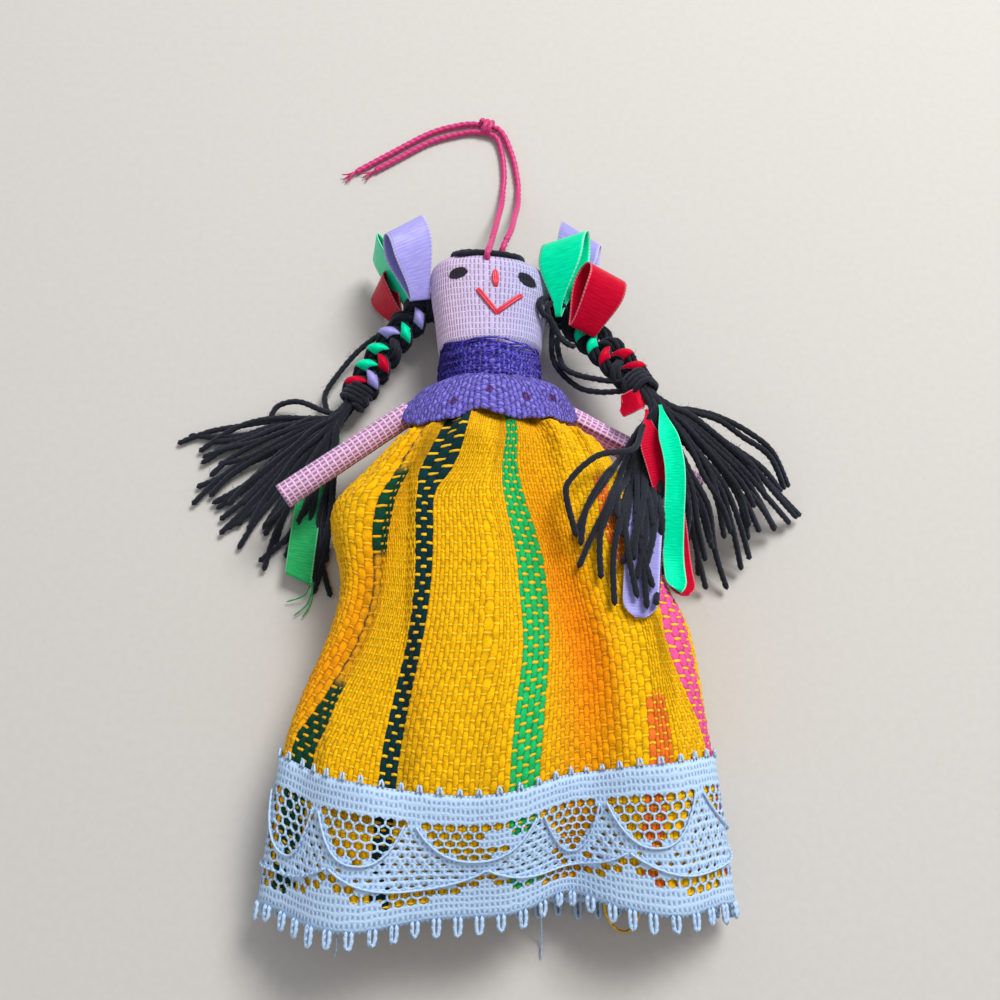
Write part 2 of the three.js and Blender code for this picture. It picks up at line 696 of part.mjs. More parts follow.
function waistThread() {
  const width = COLLAR_WIDTH + 2 * GAP + THREAD_DIAMETER;
  const depth = COLLAR_DEPTH + 2 * GAP + THREAD_DIAMETER;
  const start = WAIST_Y + THREAD_DIAMETER;
  const points = [];
  for (let i = 0; i <= THREAD_TURNS * TURN_POINTS; i += 1) {
    const turn = i / TURN_POINTS;
    const ring = oval(start + turn * THREAD_PITCH, width, depth, TURN_POINTS);
    points.push(ring[i % TURN_POINTS]);
  }
  const gap = leastGap(points, TURN_POINTS, THREAD_DIAMETER);
  console.log('waist thread, least gap between turns', gap.toFixed(2));
  return tube(new THREE.CatmullRomCurve3(points), THREAD_DIAMETER, THREAD_SIDES, points.length - 1);
}

// Arms

function heading(degrees, droop = 0) {
  const flat = Math.cos(radians(droop));
  return v3(Math.cos(radians(degrees)) * flat, Math.sin(radians(degrees)) * flat, -Math.sin(radians(droop)));
}

const SHOULDERS = {
  left: v3(-BLOUSE_WIDTH / 2 - SHOULDER_OUT, WAIST_Y - SHOULDER_DROP, BODY_Z + LEFT_ARM_LIFT),
  right: v3(BLOUSE_WIDTH / 2 + SHOULDER_OUT, WAIST_Y - SHOULDER_DROP, BODY_Z + RIGHT_ARM_LIFT),
};
const ARM_HEADINGS = {
  left: heading(LEFT_ARM_ANGLE),
  right: heading(RIGHT_ARM_ANGLE, RIGHT_ARM_DROOP),
};
const ARM_POINTS = 14;
const SHOULDER_LEVELS = [-0.92, -0.6, 0];
const SLEEVE_LEVELS = [0.3, 0.65, 1];

// A roll of gauze with a ball at the shoulder and an open mouth at the wrist
function arm(side) {
  const root = SHOULDERS[side];
  const along = ARM_HEADINGS[side];
  const level = (reach, radius) => (
    hoop(root.clone().addScaledVector(along, reach), along, () => radius, ARM_POINTS));
  const shoulder = SHOULDER_LEVELS.map((share) => (
    level(share * ARM_RADIUS, ARM_RADIUS * Math.sqrt(1 - share * share))));
  const sleeveEnd = SLEEVE_LEVELS.map((share) => (
    level(share * ARM_LENGTH, ARM_RADIUS * mix(1, ARM_FLARE, share * share))));
  const mouth = level(ARM_LENGTH, ARM_MOUTH_RADIUS);
  const pit = level(ARM_LENGTH - ARM_MOUTH_DEPTH, ARM_MOUTH_RADIUS);
  return loft([...shoulder, ...sleeveEnd, mouth, pit], root.clone().addScaledVector(along, -ARM_RADIUS));
}

const armholes = ball(SHOULDERS.left, ARM_RADIUS + GAP).add(ball(SHOULDERS.right, ARM_RADIUS + GAP));

// Room for the arms where they lie against the gathered top of the skirt
function armRests() {
  const diameter = 2 * (ARM_RADIUS * ARM_FLARE + GAP);
  const room = (side) => {
    const end = SHOULDERS[side].clone().addScaledVector(ARM_HEADINGS[side], ARM_REST_LENGTH);
    return solid(tube(new THREE.LineCurve3(SHOULDERS[side], end), diameter, ARM_POINTS, 1));
  };
  return armholes.add(room('left')).add(room('right'));
}

piece('torso_core', torsoCore(), 'stuffing');
piece('neck_band', neckBand(), 'band');
piece('blouse', blouse(armholes), 'knit');
piece('skirt', skirt(armRests()), 'skirt');
piece('lace_trim', laceTrim(), 'lace');
piece('waist_thread', waistThread(), 'stuffing');
piece('left_arm', arm('left'), 'gauze');
piece('right_arm', arm('right'), 'gauze');

// Braids. Each runs from the ear to the tie through a few points, given from the ear.

const EAR_Y = NECK_Y + HEAD_HEIGHT * EAR_SHARE;
const EAR_X = HEAD_WIDTH / 2 + EAR_OUT;
const BRAIDS = {
  left: {
    ear: v3(-EAR_X, EAR_Y, BODY_Z - 1.8),
    knee: v3(-3.9, -4.1, -1.4),
    bend: v3(-6.8, -8.2, -2.2),
    tie: v3(-9.4, -12.4, -2.7),
  },
  right: {
    ear: v3(EAR_X, EAR_Y, BODY_Z - 1.2),
    knee: v3(4.1, -4.5, 0.3),
    bend: v3(7.9, -9.4, 1.8),
    tie: v3(11, -14.2, 3.6),
  },
};

function braidCurve(side) {
  const { ear, knee, bend, tie } = BRAIDS[side];
  return new THREE.CatmullRomCurve3([ear, ...[knee, bend, tie].map((step) => step.clone().add(ear))]);
}

function hinge(side) {
  const { ear, knee } = BRAIDS[side];
  return ear.clone().add(knee);
}

function tieAxis(side) {
  const { knee, bend, tie } = BRAIDS[side];
  return { end: hinge(side).sub(knee).add(tie), along: tie.clone().sub(bend).normalize() };
}

// Rings of a plait: the outline swells and sways as the strands cross over
function plaitRings(curve, from, to, radiusAt) {
  const length = curve.getLength() * (to - from);
  const count = Math.max(PLAIT_STEPS, Math.round(length / PLAIT_PITCH * PLAIT_STEPS));
  const rings = [];
  for (let i = 0; i <= count; i += 1) {
    const share = mix(from, to, i / count);
    const phase = (share * curve.getLength() / PLAIT_PITCH) * Math.PI * 2;
    const along = curve.getTangentAt(share);
    const side = v3(0, 0, 1).cross(along).normalize();
    const at = curve.getPointAt(share).addScaledVector(side, BRAID_SWAY * Math.sin(phase));
    const swell = (angle) => radiusAt(i / count) + BRAID_LOBE * Math.cos(2 * angle - phase);
    rings.push(hoop(at, along, swell, BRAID_POINTS));
  }
  return rings;
}

const HINGE_SEARCH = 0.01;

// Share of the way along a braid's curve at which it passes its hinge
function hingeShare(side) {
  const curve = braidCurve(side);
  const pivot = hinge(side);
  let best = 0;
  for (let share = 0; share <= 1; share += HINGE_SEARCH) {
    if (curve.getPointAt(share).distanceTo(pivot) < curve.getPointAt(best).distanceTo(pivot)) best = share;
  }
  return best;
}

function braidRoot(side) {
  const radiusAt = (share) => mix(BRAID_TOP_RADIUS, BRAID_RADIUS, share);
  const rings = plaitRings(braidCurve(side), 0, hingeShare(side), radiusAt);
  const socket = ball(hinge(side), BRAID_RADIUS + GAP + BRAID_LOBE + BRAID_SWAY);
  const hairClear = solid(headSolid(2 * GAP + HAIR_THICKNESS));
  return geometryOf(solid(loft(rings)).subtract(socket).subtract(hairClear));
}

function braid(side) {
  const curve = braidCurve(side);
  const pivot = hingeShare(side);
  const { end, along } = tieAxis(side);
  const radiusAt = (share) => mix(BRAID_RADIUS, BRAID_END_RADIUS, smooth(BRAID_TAPER_FROM, 1, share));
  const body = loft(plaitRings(curve, pivot, 1, radiusAt));
  const top = end.clone().addScaledVector(along, -TIE_NECK_RADIUS);
  const tail = end.clone().addScaledVector(along, TIE_LENGTH + GAP);
  const neck = tube(new THREE.LineCurve3(top, tail), TIE_NECK_RADIUS * 2, BRAID_POINTS, 1);
  const socket = ball(tasselPivot(side), TASSEL_BALL + GAP);
  return geometryOf(solid(body).add(ball(hinge(side), BRAID_RADIUS)).add(solid(neck)).subtract(socket));
}

// Yarn wound round the end of the plait, one unbroken strand
function braidTie(side) {
  const { end, along } = tieAxis(side);
  const radius = TIE_NECK_RADIUS + GAP + YARN_DIAMETER / 2;
  const across = v3(0, 0, 1).cross(along).normalize();
  const up = along.clone().cross(across);
  const points = [];
  for (let i = 0; i <= TIE_TURNS * TURN_POINTS; i += 1) {
    const turn = i / TURN_POINTS;
    const angle = turn * Math.PI * 2;
    const at = end.clone().addScaledVector(along, YARN_DIAMETER / 2 + GAP + turn * TIE_PITCH);
    at.addScaledVector(across, Math.cos(angle) * radius);
    points.push(at.addScaledVector(up, Math.sin(angle) * radius));
  }
  const gap = leastGap(points, TURN_POINTS, YARN_DIAMETER);
  console.log(side, 'braid tie, least gap between turns', gap.toFixed(2));
  return tube(new THREE.CatmullRomCurve3(points), YARN_DIAMETER, YARN_SIDES, points.length - 1);
}

function tasselPivot(side) {
  const { end, along } = tieAxis(side);
  return end.clone().addScaledVector(along, TIE_LENGTH + GAP + TASSEL_BALL / 2);
}

for (const side of ['left', 'right']) {
  piece(`${side}_braid_root`, braidRoot(side), 'yarn');
  piece(`${side}_braid`, braid(side), 'yarn');
  piece(`${side}_braid_tie`, braidTie(side), 'yarn');
}

// Tassels: strands of yarn that leave one ball below the tie and spread over what lies under them

const YARN_RADIUS = YARN_DIAMETER / 2;
const TABLE_CLEAR = 0.05;

// Height of the left strands: they sink from the tie to the table, under the arm
function leftHeight(reach, layer) {
  const low = YARN_RADIUS + TABLE_CLEAR;
  const root = tasselPivot('left').z + layer;
  return mix(root, low, smooth(0, LEFT_SINK_LENGTH, reach));
}

// Height of the right strands: they pass over the arm and the skirt, and sink beyond them to the table
function rightHeight(x, y, reach) {
  const low = YARN_RADIUS + TABLE_CLEAR;
  const root = tasselPivot('right').z;
  const armTop = SHOULDERS.right.z + ARM_RADIUS;
  const over = mix(root, armTop + YARN_DIAMETER, Math.min(reach / RIGHT_BRIDGE_LENGTH, 1));
  const own = mix(over, low, smooth(RIGHT_BRIDGE_LENGTH, RIGHT_SINK_LENGTH, reach));
  return Math.max(own, skirtTop(x, y) + OVER_SKIRT + YARN_RADIUS);
}

function strands(side, count, fanOut, length, heightAt) {
  const pivot = tasselPivot(side);
  let body = ball(pivot, TASSEL_BALL);
  for (let i = 0; i < count; i += 1) {
    const share = i / (count - 1);
    const uneven = Math.sin(i * STRAND_UNEVEN_PHASE);
    const bend = STRAND_BEND * Math.cos(i * STRAND_BEND_PHASE);
    const reachEnd = length * (1 + STRAND_UNEVEN * uneven);
    const points = [];
    for (let k = 0; k <= STRAND_STEPS; k += 1) {
      const reach = mix(STRAND_ROOT, reachEnd, k / STRAND_STEPS);
      const turn = radians(mix(fanOut[0], fanOut[1], share) + bend * (k / STRAND_STEPS));
      const x = pivot.x + Math.cos(turn) * reach;
      const y = pivot.y + Math.sin(turn) * reach;
      points.push(v3(x, y, heightAt(x, y, reach, uneven)));
    }
    const strand = tube(new THREE.CatmullRomCurve3(points), YARN_DIAMETER, STRAND_SIDES, STRAND_STEPS);
    body = body.add(solid(strand));
  }
  return geometryOf(body);
}

const leftStrandHeight = (x, y, reach, uneven) => leftHeight(reach, uneven);
const leftTassel = strands('left', LEFT_STRANDS, LEFT_FAN, LEFT_STRAND_LENGTH, leftStrandHeight);
const rightTassel = strands('right', RIGHT_STRANDS, RIGHT_FAN, RIGHT_STRAND_LENGTH, rightHeight);
piece('left_tassel', leftTassel, 'yarn');
piece('right_tassel', rightTassel, 'yarn');

// Ribbon tails from the ties: flat strips that lie on the yarn, one over another at the tie
function ribbonTail(side, angle, bend, heightAt) {
  const pivot = tasselPivot(side);
  const rings = [];
  for (let k = 0; k <= TAIL_STEPS; k += 1) {
    const share = k / TAIL_STEPS;
    const half = mix(TAIL_ROOT_WIDTH, TAIL_WIDTH, smooth(0, TAIL_SPREAD, share)) / 2;
    const reach = mix(TASSEL_BALL + GAP, TAIL_LENGTH, share);
    const turn = radians(angle + bend * share);
    const along = v3(Math.cos(turn), Math.sin(turn), 0);
    const across = v3(-along.y, along.x, 0).multiplyScalar(half);
    const at = pivot.clone().setZ(0).addScaledVector(along, reach);
    const left = at.clone().sub(across);
    const right = at.clone().add(across);
    const corner = (edge, rise) => edge.clone().setZ(heightAt(edge.x, edge.y, reach) + rise);
    const lower = [corner(left, 0), corner(right, 0)];
    rings.push([...lower, corner(right, RIBBON_CLOTH), corner(left, RIBBON_CLOTH)]);
  }
  return loft(rings);
}

// Height of a tail above the yarn: close to it at the tie, looser further on, one layer over another
function tailRise(reach, layer) {
  const loft = mix(GAP, TAIL_LOFT, smooth(TASSEL_BALL, TAIL_LOFT_RUN, reach));
  return YARN_RADIUS + loft + layer * (RIBBON_CLOTH + loft);
}

const rightLayer = (layer) => (x, y, reach) => rightHeight(x, y, reach) + tailRise(reach, layer);
const leftTop = (x, y, reach) => leftHeight(reach, 1) + tailRise(reach, 0);

// Each tail leaves its tie at an angle in degrees and bends by a few more along its length
const TAILS = [
  { name: 'left_green_tail', side: 'left', angle: 254, bend: 6, height: leftTop, finish: 'green' },
  { name: 'right_green_tail', side: 'right', angle: -87, bend: 2, height: rightLayer(2), finish: 'green' },
  { name: 'right_red_tail', side: 'right', angle: -80, bend: 2, height: rightLayer(1), finish: 'red' },
  { name: 'right_lilac_tail', side: 'right', angle: -96, bend: -2, height: rightLayer(0), finish: 'lilac' },
];
for (const tail of TAILS) {
  piece(tail.name, ribbonTail(tail.side, tail.angle, tail.bend, tail.height), tail.finish);
}

// Ribbon loops: a band of ribbon bent into an egg, standing on the top of the braid

function ribbonLoop(base, tip, belly, turn) {
  const along = tip.clone().sub(base);
  const length = along.length();
  const outline = (inset) => {
    const points = [];
    for (let i = 0; i < LOOP_POINTS; i += 1) {
      const angle = (i / LOOP_POINTS) * Math.PI * 2;
      const far = (1 + Math.cos(angle)) / 2;
      const wide = (belly / 2) * (LOOP_PINCH + (1 - LOOP_PINCH) * far);
      const x = far * (length - 2 * inset) + inset;
      points.push(new THREE.Vector2(x, Math.sin(angle) * (wide - inset)));
    }
    return points;
  };
  const band = new THREE.Shape(outline(0));
  band.holes.push(new THREE.Path(outline(RIBBON_CLOTH)));
  const geometry = new THREE.ExtrudeGeometry(band, { depth: RIBBON_WIDTH, steps: 1, bevelEnabled: false });
  geometry.translate(0, 0, -RIBBON_WIDTH / 2);
  const forward = along.normalize();
  const level = v3(0, 0, 1).cross(forward).normalize();
  const face = forward.clone().cross(level).applyAxisAngle(forward, radians(turn));
  const width = forward.clone().cross(face);
  geometry.applyMatrix4(new THREE.Matrix4().makeBasis(forward, face, width).setPosition(base));
  return welded(geometry);
}

// Each loop is placed from its own ear: base, tip, belly and the turn of its face about its length
const LOOPS = [
  { name: 'left_lilac_loop', base: [-1.2, 0.6, 6.2], tip: [-3.6, 11.6, 7.4], belly: 4.4, turn: 0 },
  { name: 'left_green_loop', base: [-2.6, 2.1, -0.6], tip: [-9.2, 11.8, -0.6], belly: 3.4, turn: 90 },
  { name: 'left_red_loop', base: [-5.2, -0.2, -2.4], tip: [-10.6, 5, -2.4], belly: 3.2, turn: 90 },
  { name: 'right_lilac_loop', base: [2.6, 3.8, -1], tip: [4.6, 13.8, -0.6], belly: 4.6, turn: 0 },
  { name: 'right_green_loop', base: [0.6, -1.2, 6], tip: [1.8, 9.8, 6.6], belly: 4.6, turn: 0 },
  { name: 'right_red_loop', base: [2.8, -4.2, 7.4], tip: [11.4, 0.4, 8], belly: 6, turn: 40 },
];
for (const loop of LOOPS) {
  const [side, finish] = loop.name.split('_');
  const { ear } = BRAIDS[side];
  const base = v3(...loop.base).add(ear);
  const tip = v3(...loop.tip).add(ear);
  piece(loop.name, ribbonLoop(base, tip, loop.belly, loop.turn), finish);
}

// Hanging loop. The cord's points are chosen by hand, from the crown of the hair.
const EXIT = v3(0, CROWN_Y + GAP + HAIR_THICKNESS + CORD_CLEAR, BODY_Z + CORD_FORWARD);
const LYING = CORD_DIAMETER / 2 + TABLE_CLEAR - EXIT.z;
const KNOT_POINTS = 14;
const KNOT_LEVELS = 10;
const KNOT = v3(-0.8, 28.6, KNOT_SIZE[2] / 2 + TABLE_CLEAR - EXIT.z);

function cord(points) {
  const route = points.map(([x, y, z]) => v3(x, y, z).add(EXIT));
  const curve = new THREE.CatmullRomCurve3(route);
  const steps = Math.round(curve.getLength() / CORD_STEP);
  return tube(curve, CORD_DIAMETER, CORD_SIDES, steps);
}

function knot() {
  const geometry = new THREE.SphereGeometry(0.5, KNOT_POINTS, KNOT_LEVELS);
  geometry.scale(...KNOT_SIZE);
  geometry.translate(EXIT.x + KNOT.x, EXIT.y + KNOT.y, EXIT.z + KNOT.z);
  return welded(geometry);
}

const FRONT_STRAND = [
  [-0.7, 0, 0], [-0.4, 2.2, -0.5], [0.1, 4.8, -3], [0.7, 7.6, -7.2], [1, 10.4, LYING + 0.3],
  [1.8, 14.6, LYING], [2.3, 18.9, LYING], [1.9, 23.4, LYING], [0.7, 26.7, LYING + 0.2],
];
const BACK_STRAND = [
  [1.2, 0, 0], [2, 2.1, -0.6], [2.8, 4.7, -3.2], [3.4, 7.4, -7.4], [3.8, 10.2, LYING + 0.3],
  [4.5, 14, LYING], [4.6, 18, LYING], [3.7, 23, LYING], [1.5, 28, LYING + 0.2],
];
const LONG_TAIL = [
  [-2.8, 29.3, LYING + 0.1], [-6.5, 28.9, LYING], [-11, 27.3, LYING],
  [-17.5, 23.3, LYING], [-23.5, 19.5, LYING],
];
const SHORT_TAIL = [
  [-2.8, 27.7, LYING + 0.1], [-6.5, 27.1, LYING], [-10.8, 25.6, LYING],
  [-16, 22.4, LYING], [-20.2, 19.8, LYING],
];
piece('loop_strand_front', cord(FRONT_STRAND), 'cord');
piece('loop_strand_back', cord(BACK_STRAND), 'cord');
piece('loop_knot', knot(), 'cord');
piece('loop_tail_long', cord(LONG_TAIL), 'cord');
piece('loop_tail_short', cord(SHORT_TAIL), 'cord');

export default doll;
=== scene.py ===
# %% [markdown]
# # Rag doll ornament
# A hanging doll of gathered cloth, gauze, yarn and satin ribbon, laid on its back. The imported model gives
# the size, the place and the joints of every piece. This lesson dresses it: each solid is replaced by
# cloth, yarn or ribbon made at its real thread size. Sizes are written in millimetres, and each piece is
# scaled to metres when it is finished.

# %% Load the frame
import math
import random

import bmesh
import bpy
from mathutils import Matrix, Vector, noise
from mathutils.bvhtree import BVHTree
from mathutils.geometry import interpolate_bezier
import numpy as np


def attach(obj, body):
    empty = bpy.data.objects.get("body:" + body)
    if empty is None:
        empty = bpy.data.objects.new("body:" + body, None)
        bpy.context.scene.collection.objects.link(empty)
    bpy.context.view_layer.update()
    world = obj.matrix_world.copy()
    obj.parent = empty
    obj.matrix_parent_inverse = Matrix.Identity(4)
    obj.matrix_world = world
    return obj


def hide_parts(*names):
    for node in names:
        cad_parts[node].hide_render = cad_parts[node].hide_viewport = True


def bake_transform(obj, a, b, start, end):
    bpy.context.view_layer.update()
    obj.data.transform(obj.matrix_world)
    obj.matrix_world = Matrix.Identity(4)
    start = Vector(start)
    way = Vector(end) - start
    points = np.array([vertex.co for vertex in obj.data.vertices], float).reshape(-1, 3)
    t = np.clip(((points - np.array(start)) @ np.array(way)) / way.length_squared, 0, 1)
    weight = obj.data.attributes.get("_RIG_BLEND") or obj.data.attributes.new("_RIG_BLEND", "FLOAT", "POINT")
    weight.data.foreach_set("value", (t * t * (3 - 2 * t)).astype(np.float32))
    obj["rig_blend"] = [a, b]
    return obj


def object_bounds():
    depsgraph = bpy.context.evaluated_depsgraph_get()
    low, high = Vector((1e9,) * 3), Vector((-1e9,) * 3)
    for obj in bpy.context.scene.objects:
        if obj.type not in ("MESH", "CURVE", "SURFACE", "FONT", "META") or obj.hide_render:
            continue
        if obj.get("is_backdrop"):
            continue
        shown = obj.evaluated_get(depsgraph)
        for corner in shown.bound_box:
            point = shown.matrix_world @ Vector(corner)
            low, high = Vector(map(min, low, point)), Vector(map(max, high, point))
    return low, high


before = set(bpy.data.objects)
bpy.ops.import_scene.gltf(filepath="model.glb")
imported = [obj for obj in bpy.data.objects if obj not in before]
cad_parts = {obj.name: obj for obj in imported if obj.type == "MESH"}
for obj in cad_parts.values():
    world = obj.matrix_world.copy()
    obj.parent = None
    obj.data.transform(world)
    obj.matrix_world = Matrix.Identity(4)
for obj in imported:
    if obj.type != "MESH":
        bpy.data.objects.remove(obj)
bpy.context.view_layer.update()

MM = 0.001
UP = Vector((0, 0, 1))
BODY_Z = 8.4  # height of the middle of the body over the table

# %% [markdown]
# ## Camera, floor and light
# The photo looks down on the doll from the hem side, about 72 degrees above the table. A large soft lamp
# at the upper right and an even sky stand in for a window and a bright room. Their levels add up to about
# one, so a colour renders close to the way it is written.

# %% Colour
def linear(code):
    """Linear colour of an sRGB hex value."""
    shares = [int(code[i:i + 2], 16) / 255 for i in (1, 3, 5)]
    return tuple(s / 12.92 if s <= 0.04045 else ((s + 0.055) / 1.055) ** 2.4 for s in shares) + (1.0,)


def add(tree, kind, inputs=None, **settings):
    """Adds a shader node with its settings. A node or a socket among the inputs is linked."""
    node = tree.nodes.new("ShaderNode" + kind)
    for name, value in settings.items():
        setattr(node, name, value)
    for place, value in (inputs or {}).items():
        if isinstance(value, bpy.types.Node):
            value = value.outputs[0]
        if isinstance(value, bpy.types.NodeSocket):
            tree.links.new(value, node.inputs[place])
        else:
            node.inputs[place].default_value = value
    return node


def start_material(name):
    """An empty material, with the tree to fill."""
    material = bpy.data.materials.new(name)
    material.use_nodes = True
    material.node_tree.nodes.clear()
    return material, material.node_tree


def stops(ramp, *marks):
    """Sets the two ends of a colour ramp, each a place and a colour."""
    for element, (place, code) in zip(ramp.color_ramp.elements, marks):
        element.position = place
        element.color = linear(code)


# %% Camera
TARGET = Vector((1.6, 0, 8))
DISTANCE = 168
ELEVATION = math.radians(72)
FIELD_OF_VIEW = 48

eye = TARGET + DISTANCE * Vector((0, -math.cos(ELEVATION), math.sin(ELEVATION)))
camera = bpy.data.objects.new("camera", bpy.data.cameras.new("camera"))
camera.location = eye * MM
camera.rotation_euler = (math.pi / 2 - ELEVATION, 0, 0)
camera.data.angle = math.radians(FIELD_OF_VIEW)
camera.data.clip_start = 0.01
bpy.context.collection.objects.link(camera)
bpy.context.scene.camera = camera
bpy.context.scene.view_settings.view_transform = "Standard"
print("camera at", [round(c, 4) for c in camera.location])

# %% Floor and light
FLOOR_SIZE = 8000
FLOOR_GRAIN = 900.0
KEY_PLACE = Vector((260, 330, 520))
KEY_SIZE = 260
KEY_WATTS = 4.3
SKY_STRENGTH = 0.52

# Matt painted board: pale, and too even to draw the eye.
paint, tree = start_material("matt_paint")
place = add(tree, "TexCoord").outputs["Object"]
tone = add(tree, "ValToRGB", {0: add(tree, "TexNoise", {"Vector": place, "Scale": FLOOR_GRAIN})})
stops(tone, (0, "#C6C2BC"), (1, "#CECAC4"))
board = add(tree, "BsdfPrincipled", {"Base Color": tone, "Roughness": 0.9, "Specular IOR Level": 0.2})
add(tree, "OutputMaterial", {"Surface": board})

bm = bmesh.new()
bmesh.ops.create_grid(bm, x_segments=1, y_segments=1, size=FLOOR_SIZE * MM / 2)
mesh = bpy.data.meshes.new("floor")
bm.to_mesh(mesh)
bm.free()
mesh.materials.append(paint)
floor = bpy.data.objects.new("floor", mesh)
bpy.context.collection.objects.link(floor)
floor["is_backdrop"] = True

key = bpy.data.objects.new("window_light", bpy.data.lights.new("window_light", "AREA"))
key.data.size = KEY_SIZE * MM
key.data.energy = KEY_WATTS
key.location = KEY_PLACE * MM
key.rotation_euler = (TARGET - KEY_PLACE).to_track_quat("-Z", "Y").to_euler()
bpy.context.collection.objects.link(key)

sky = bpy.data.worlds.new("room")
sky.use_nodes = True
sky.node_tree.nodes["Background"].inputs["Color"].default_value = linear("#F4F6FA")
sky.node_tree.nodes["Background"].inputs["Strength"].default_value = SKY_STRENGTH
bpy.context.scene.world = sky
print("key light", KEY_WATTS, "W, sky", SKY_STRENGTH)

# %% [markdown]
# ## Tools for cloth and yarn
# Nearly everything here is a sheet or a twisted strand. A sheet is one grid whose points are moved to their
# place, with a UV map that counts threads, so that a weave drawn on it keeps its real pitch. A strand is
# the same grid rolled round a path, with a section of two or three lobes that turns as it goes, which is
# what plied yarn is.

# %% Numbers
def mix(a, b, t):
    return a + (b - a) * t


def ease(low, high, x):
    t = min(max((x - low) / (high - low), 0), 1)
    return t * t * (3 - 2 * t)


def bump(x, half):
    return math.exp(-(x / half) ** 2)


def through(stations, share):
    """Value at a share of the way, read smoothly through (share, value) stations."""
    last = len(stations) - 1
    i = 0
    while i < last - 1 and share > stations[i + 1][0]:
        i += 1
    (at_a, a), (at_b, b) = stations[i], stations[i + 1]
    span = at_b - at_a
    t = min(max((share - at_a) / span, 0), 1)
    before, after = stations[max(i - 1, 0)], stations[min(i + 2, last)]
    slope_a = b - a if i == 0 else (b - before[1]) * span / (at_b - before[0])
    slope_b = b - a if i + 2 > last else (after[1] - a) * span / (after[0] - at_a)
    t2, t3 = t * t, t * t * t
    start = (2 * t3 - 3 * t2 + 1) * a + (t3 - 2 * t2 + t) * slope_a
    return start + (3 * t2 - 2 * t3) * b + (t3 - t2) * slope_b


def power_circle(angle, power):
    """Point of a circle with squared shoulders."""
    c, s = math.cos(angle), math.sin(angle)
    return math.copysign(abs(c) ** (2 / power), c), math.copysign(abs(s) ** (2 / power), s)


def from_back(u):
    """Angle at a share of the way round a piece, from the middle of its back."""
    return u * math.tau - math.pi / 2


# %% Sheets and strands
CURVE_POINTS = 10
WELD = 1e-4


def panel(bm, columns, rows, place, threads=(1, 1)):
    """A grid whose point (u, v), each from 0 to 1, goes to place(u, v). Its UV map counts threads."""
    made = bmesh.ops.create_grid(bm, x_segments=columns, y_segments=rows, size=0.5)["verts"]
    layer = bm.loops.layers.uv.verify()
    spots = {vert: (vert.co.x + 0.5, vert.co.y + 0.5) for vert in made}
    for vert, (u, v) in spots.items():
        for loop in vert.link_loops:
            loop[layer].uv = (u * threads[0], v * threads[1])
    for vert, (u, v) in spots.items():
        vert.co = place(u, v)
    return made


def weld(bm, verts):
    """Joins points that lie on each other, and turns the faces outwards."""
    faces = list({face for vert in verts for face in vert.link_faces})
    bmesh.ops.remove_doubles(bm, verts=verts, dist=WELD)
    bmesh.ops.recalc_face_normals(bm, faces=[face for face in faces if face.is_valid])


def smooth_path(points, step):
    """Points about one step apart on a smooth curve through the given ones."""
    knots = [Vector(p) for p in points]
    last = len(knots) - 1
    slopes = [(knots[min(i + 1, last)] - knots[max(i - 1, 0)]) / 2 for i in range(last + 1)]
    fine = [knots[0]]
    for a, b, slope_a, slope_b in zip(knots, knots[1:], slopes, slopes[1:]):
        fine += interpolate_bezier(a, a + slope_a / 3, b - slope_b / 3, b, CURVE_POINTS)[1:]
    run = [0.0]
    for a, b in zip(fine, fine[1:]):
        run.append(run[-1] + (b - a).length)
    count = max(2, round(run[-1] / step))
    path = []
    k = 0
    for i in range(count + 1):
        goal = run[-1] * i / count
        while k < len(run) - 2 and run[k + 1] < goal:
            k += 1
        path.append(fine[k].lerp(fine[k + 1], (goal - run[k]) / max(run[k + 1] - run[k], WELD)))
    return path


def length_of(path):
    return sum((b - a).length for a, b in zip(path, path[1:]))


def frames(path):
    """Heading, side and up at each point of a path, carried along it without a twist."""
    last = len(path) - 1
    side = UP.cross(path[1] - path[0])
    if side.length < WELD:
        side = Vector((1, 0, 0))
    carried = []
    for i in range(last + 1):
        head = (path[min(i + 1, last)] - path[max(i - 1, 0)]).normalized()
        side = (side - head * side.dot(head)).normalized()
        carried.append((head, side, head.cross(side)))
    return carried


def strand(bm, path, radius, sides=8, plies=2, pitch=2.6, groove=0.26, start=0.0):
    """A plied strand with closed ends. Its UV map runs once round it, and in millimetres along it."""
    steps = len(path) - 1
    turns = frames(path)
    length = length_of(path)

    def place(u, v):
        k = round(v * steps)
        _, side, up = turns[k]
        angle = u * math.tau
        twist = start + math.tau * length * v / pitch
        lobe = 1 - groove * (1 - abs(math.cos(plies * (angle - twist) / 2)))
        reach = 0 if k in (0, steps) else radius * lobe
        return path[k] + (side * math.cos(angle) + up * math.sin(angle)) * reach

    weld(bm, panel(bm, sides, steps, place, (1, length)))


def thread(bm, points, step, radius, sides=6, **lay):
    """A strand along a smooth curve through some points. Returns its path."""
    path = smooth_path(points, step)
    strand(bm, path, radius, sides, **lay)
    return path


# %% Loose fibres
FIBRE = 0.04
FIBRE_RINGS = 3
FIBRE_ROOT = 0.8
FIBRE_CURL = 0.3
SHORTEST = 0.3
CORNERS = 4


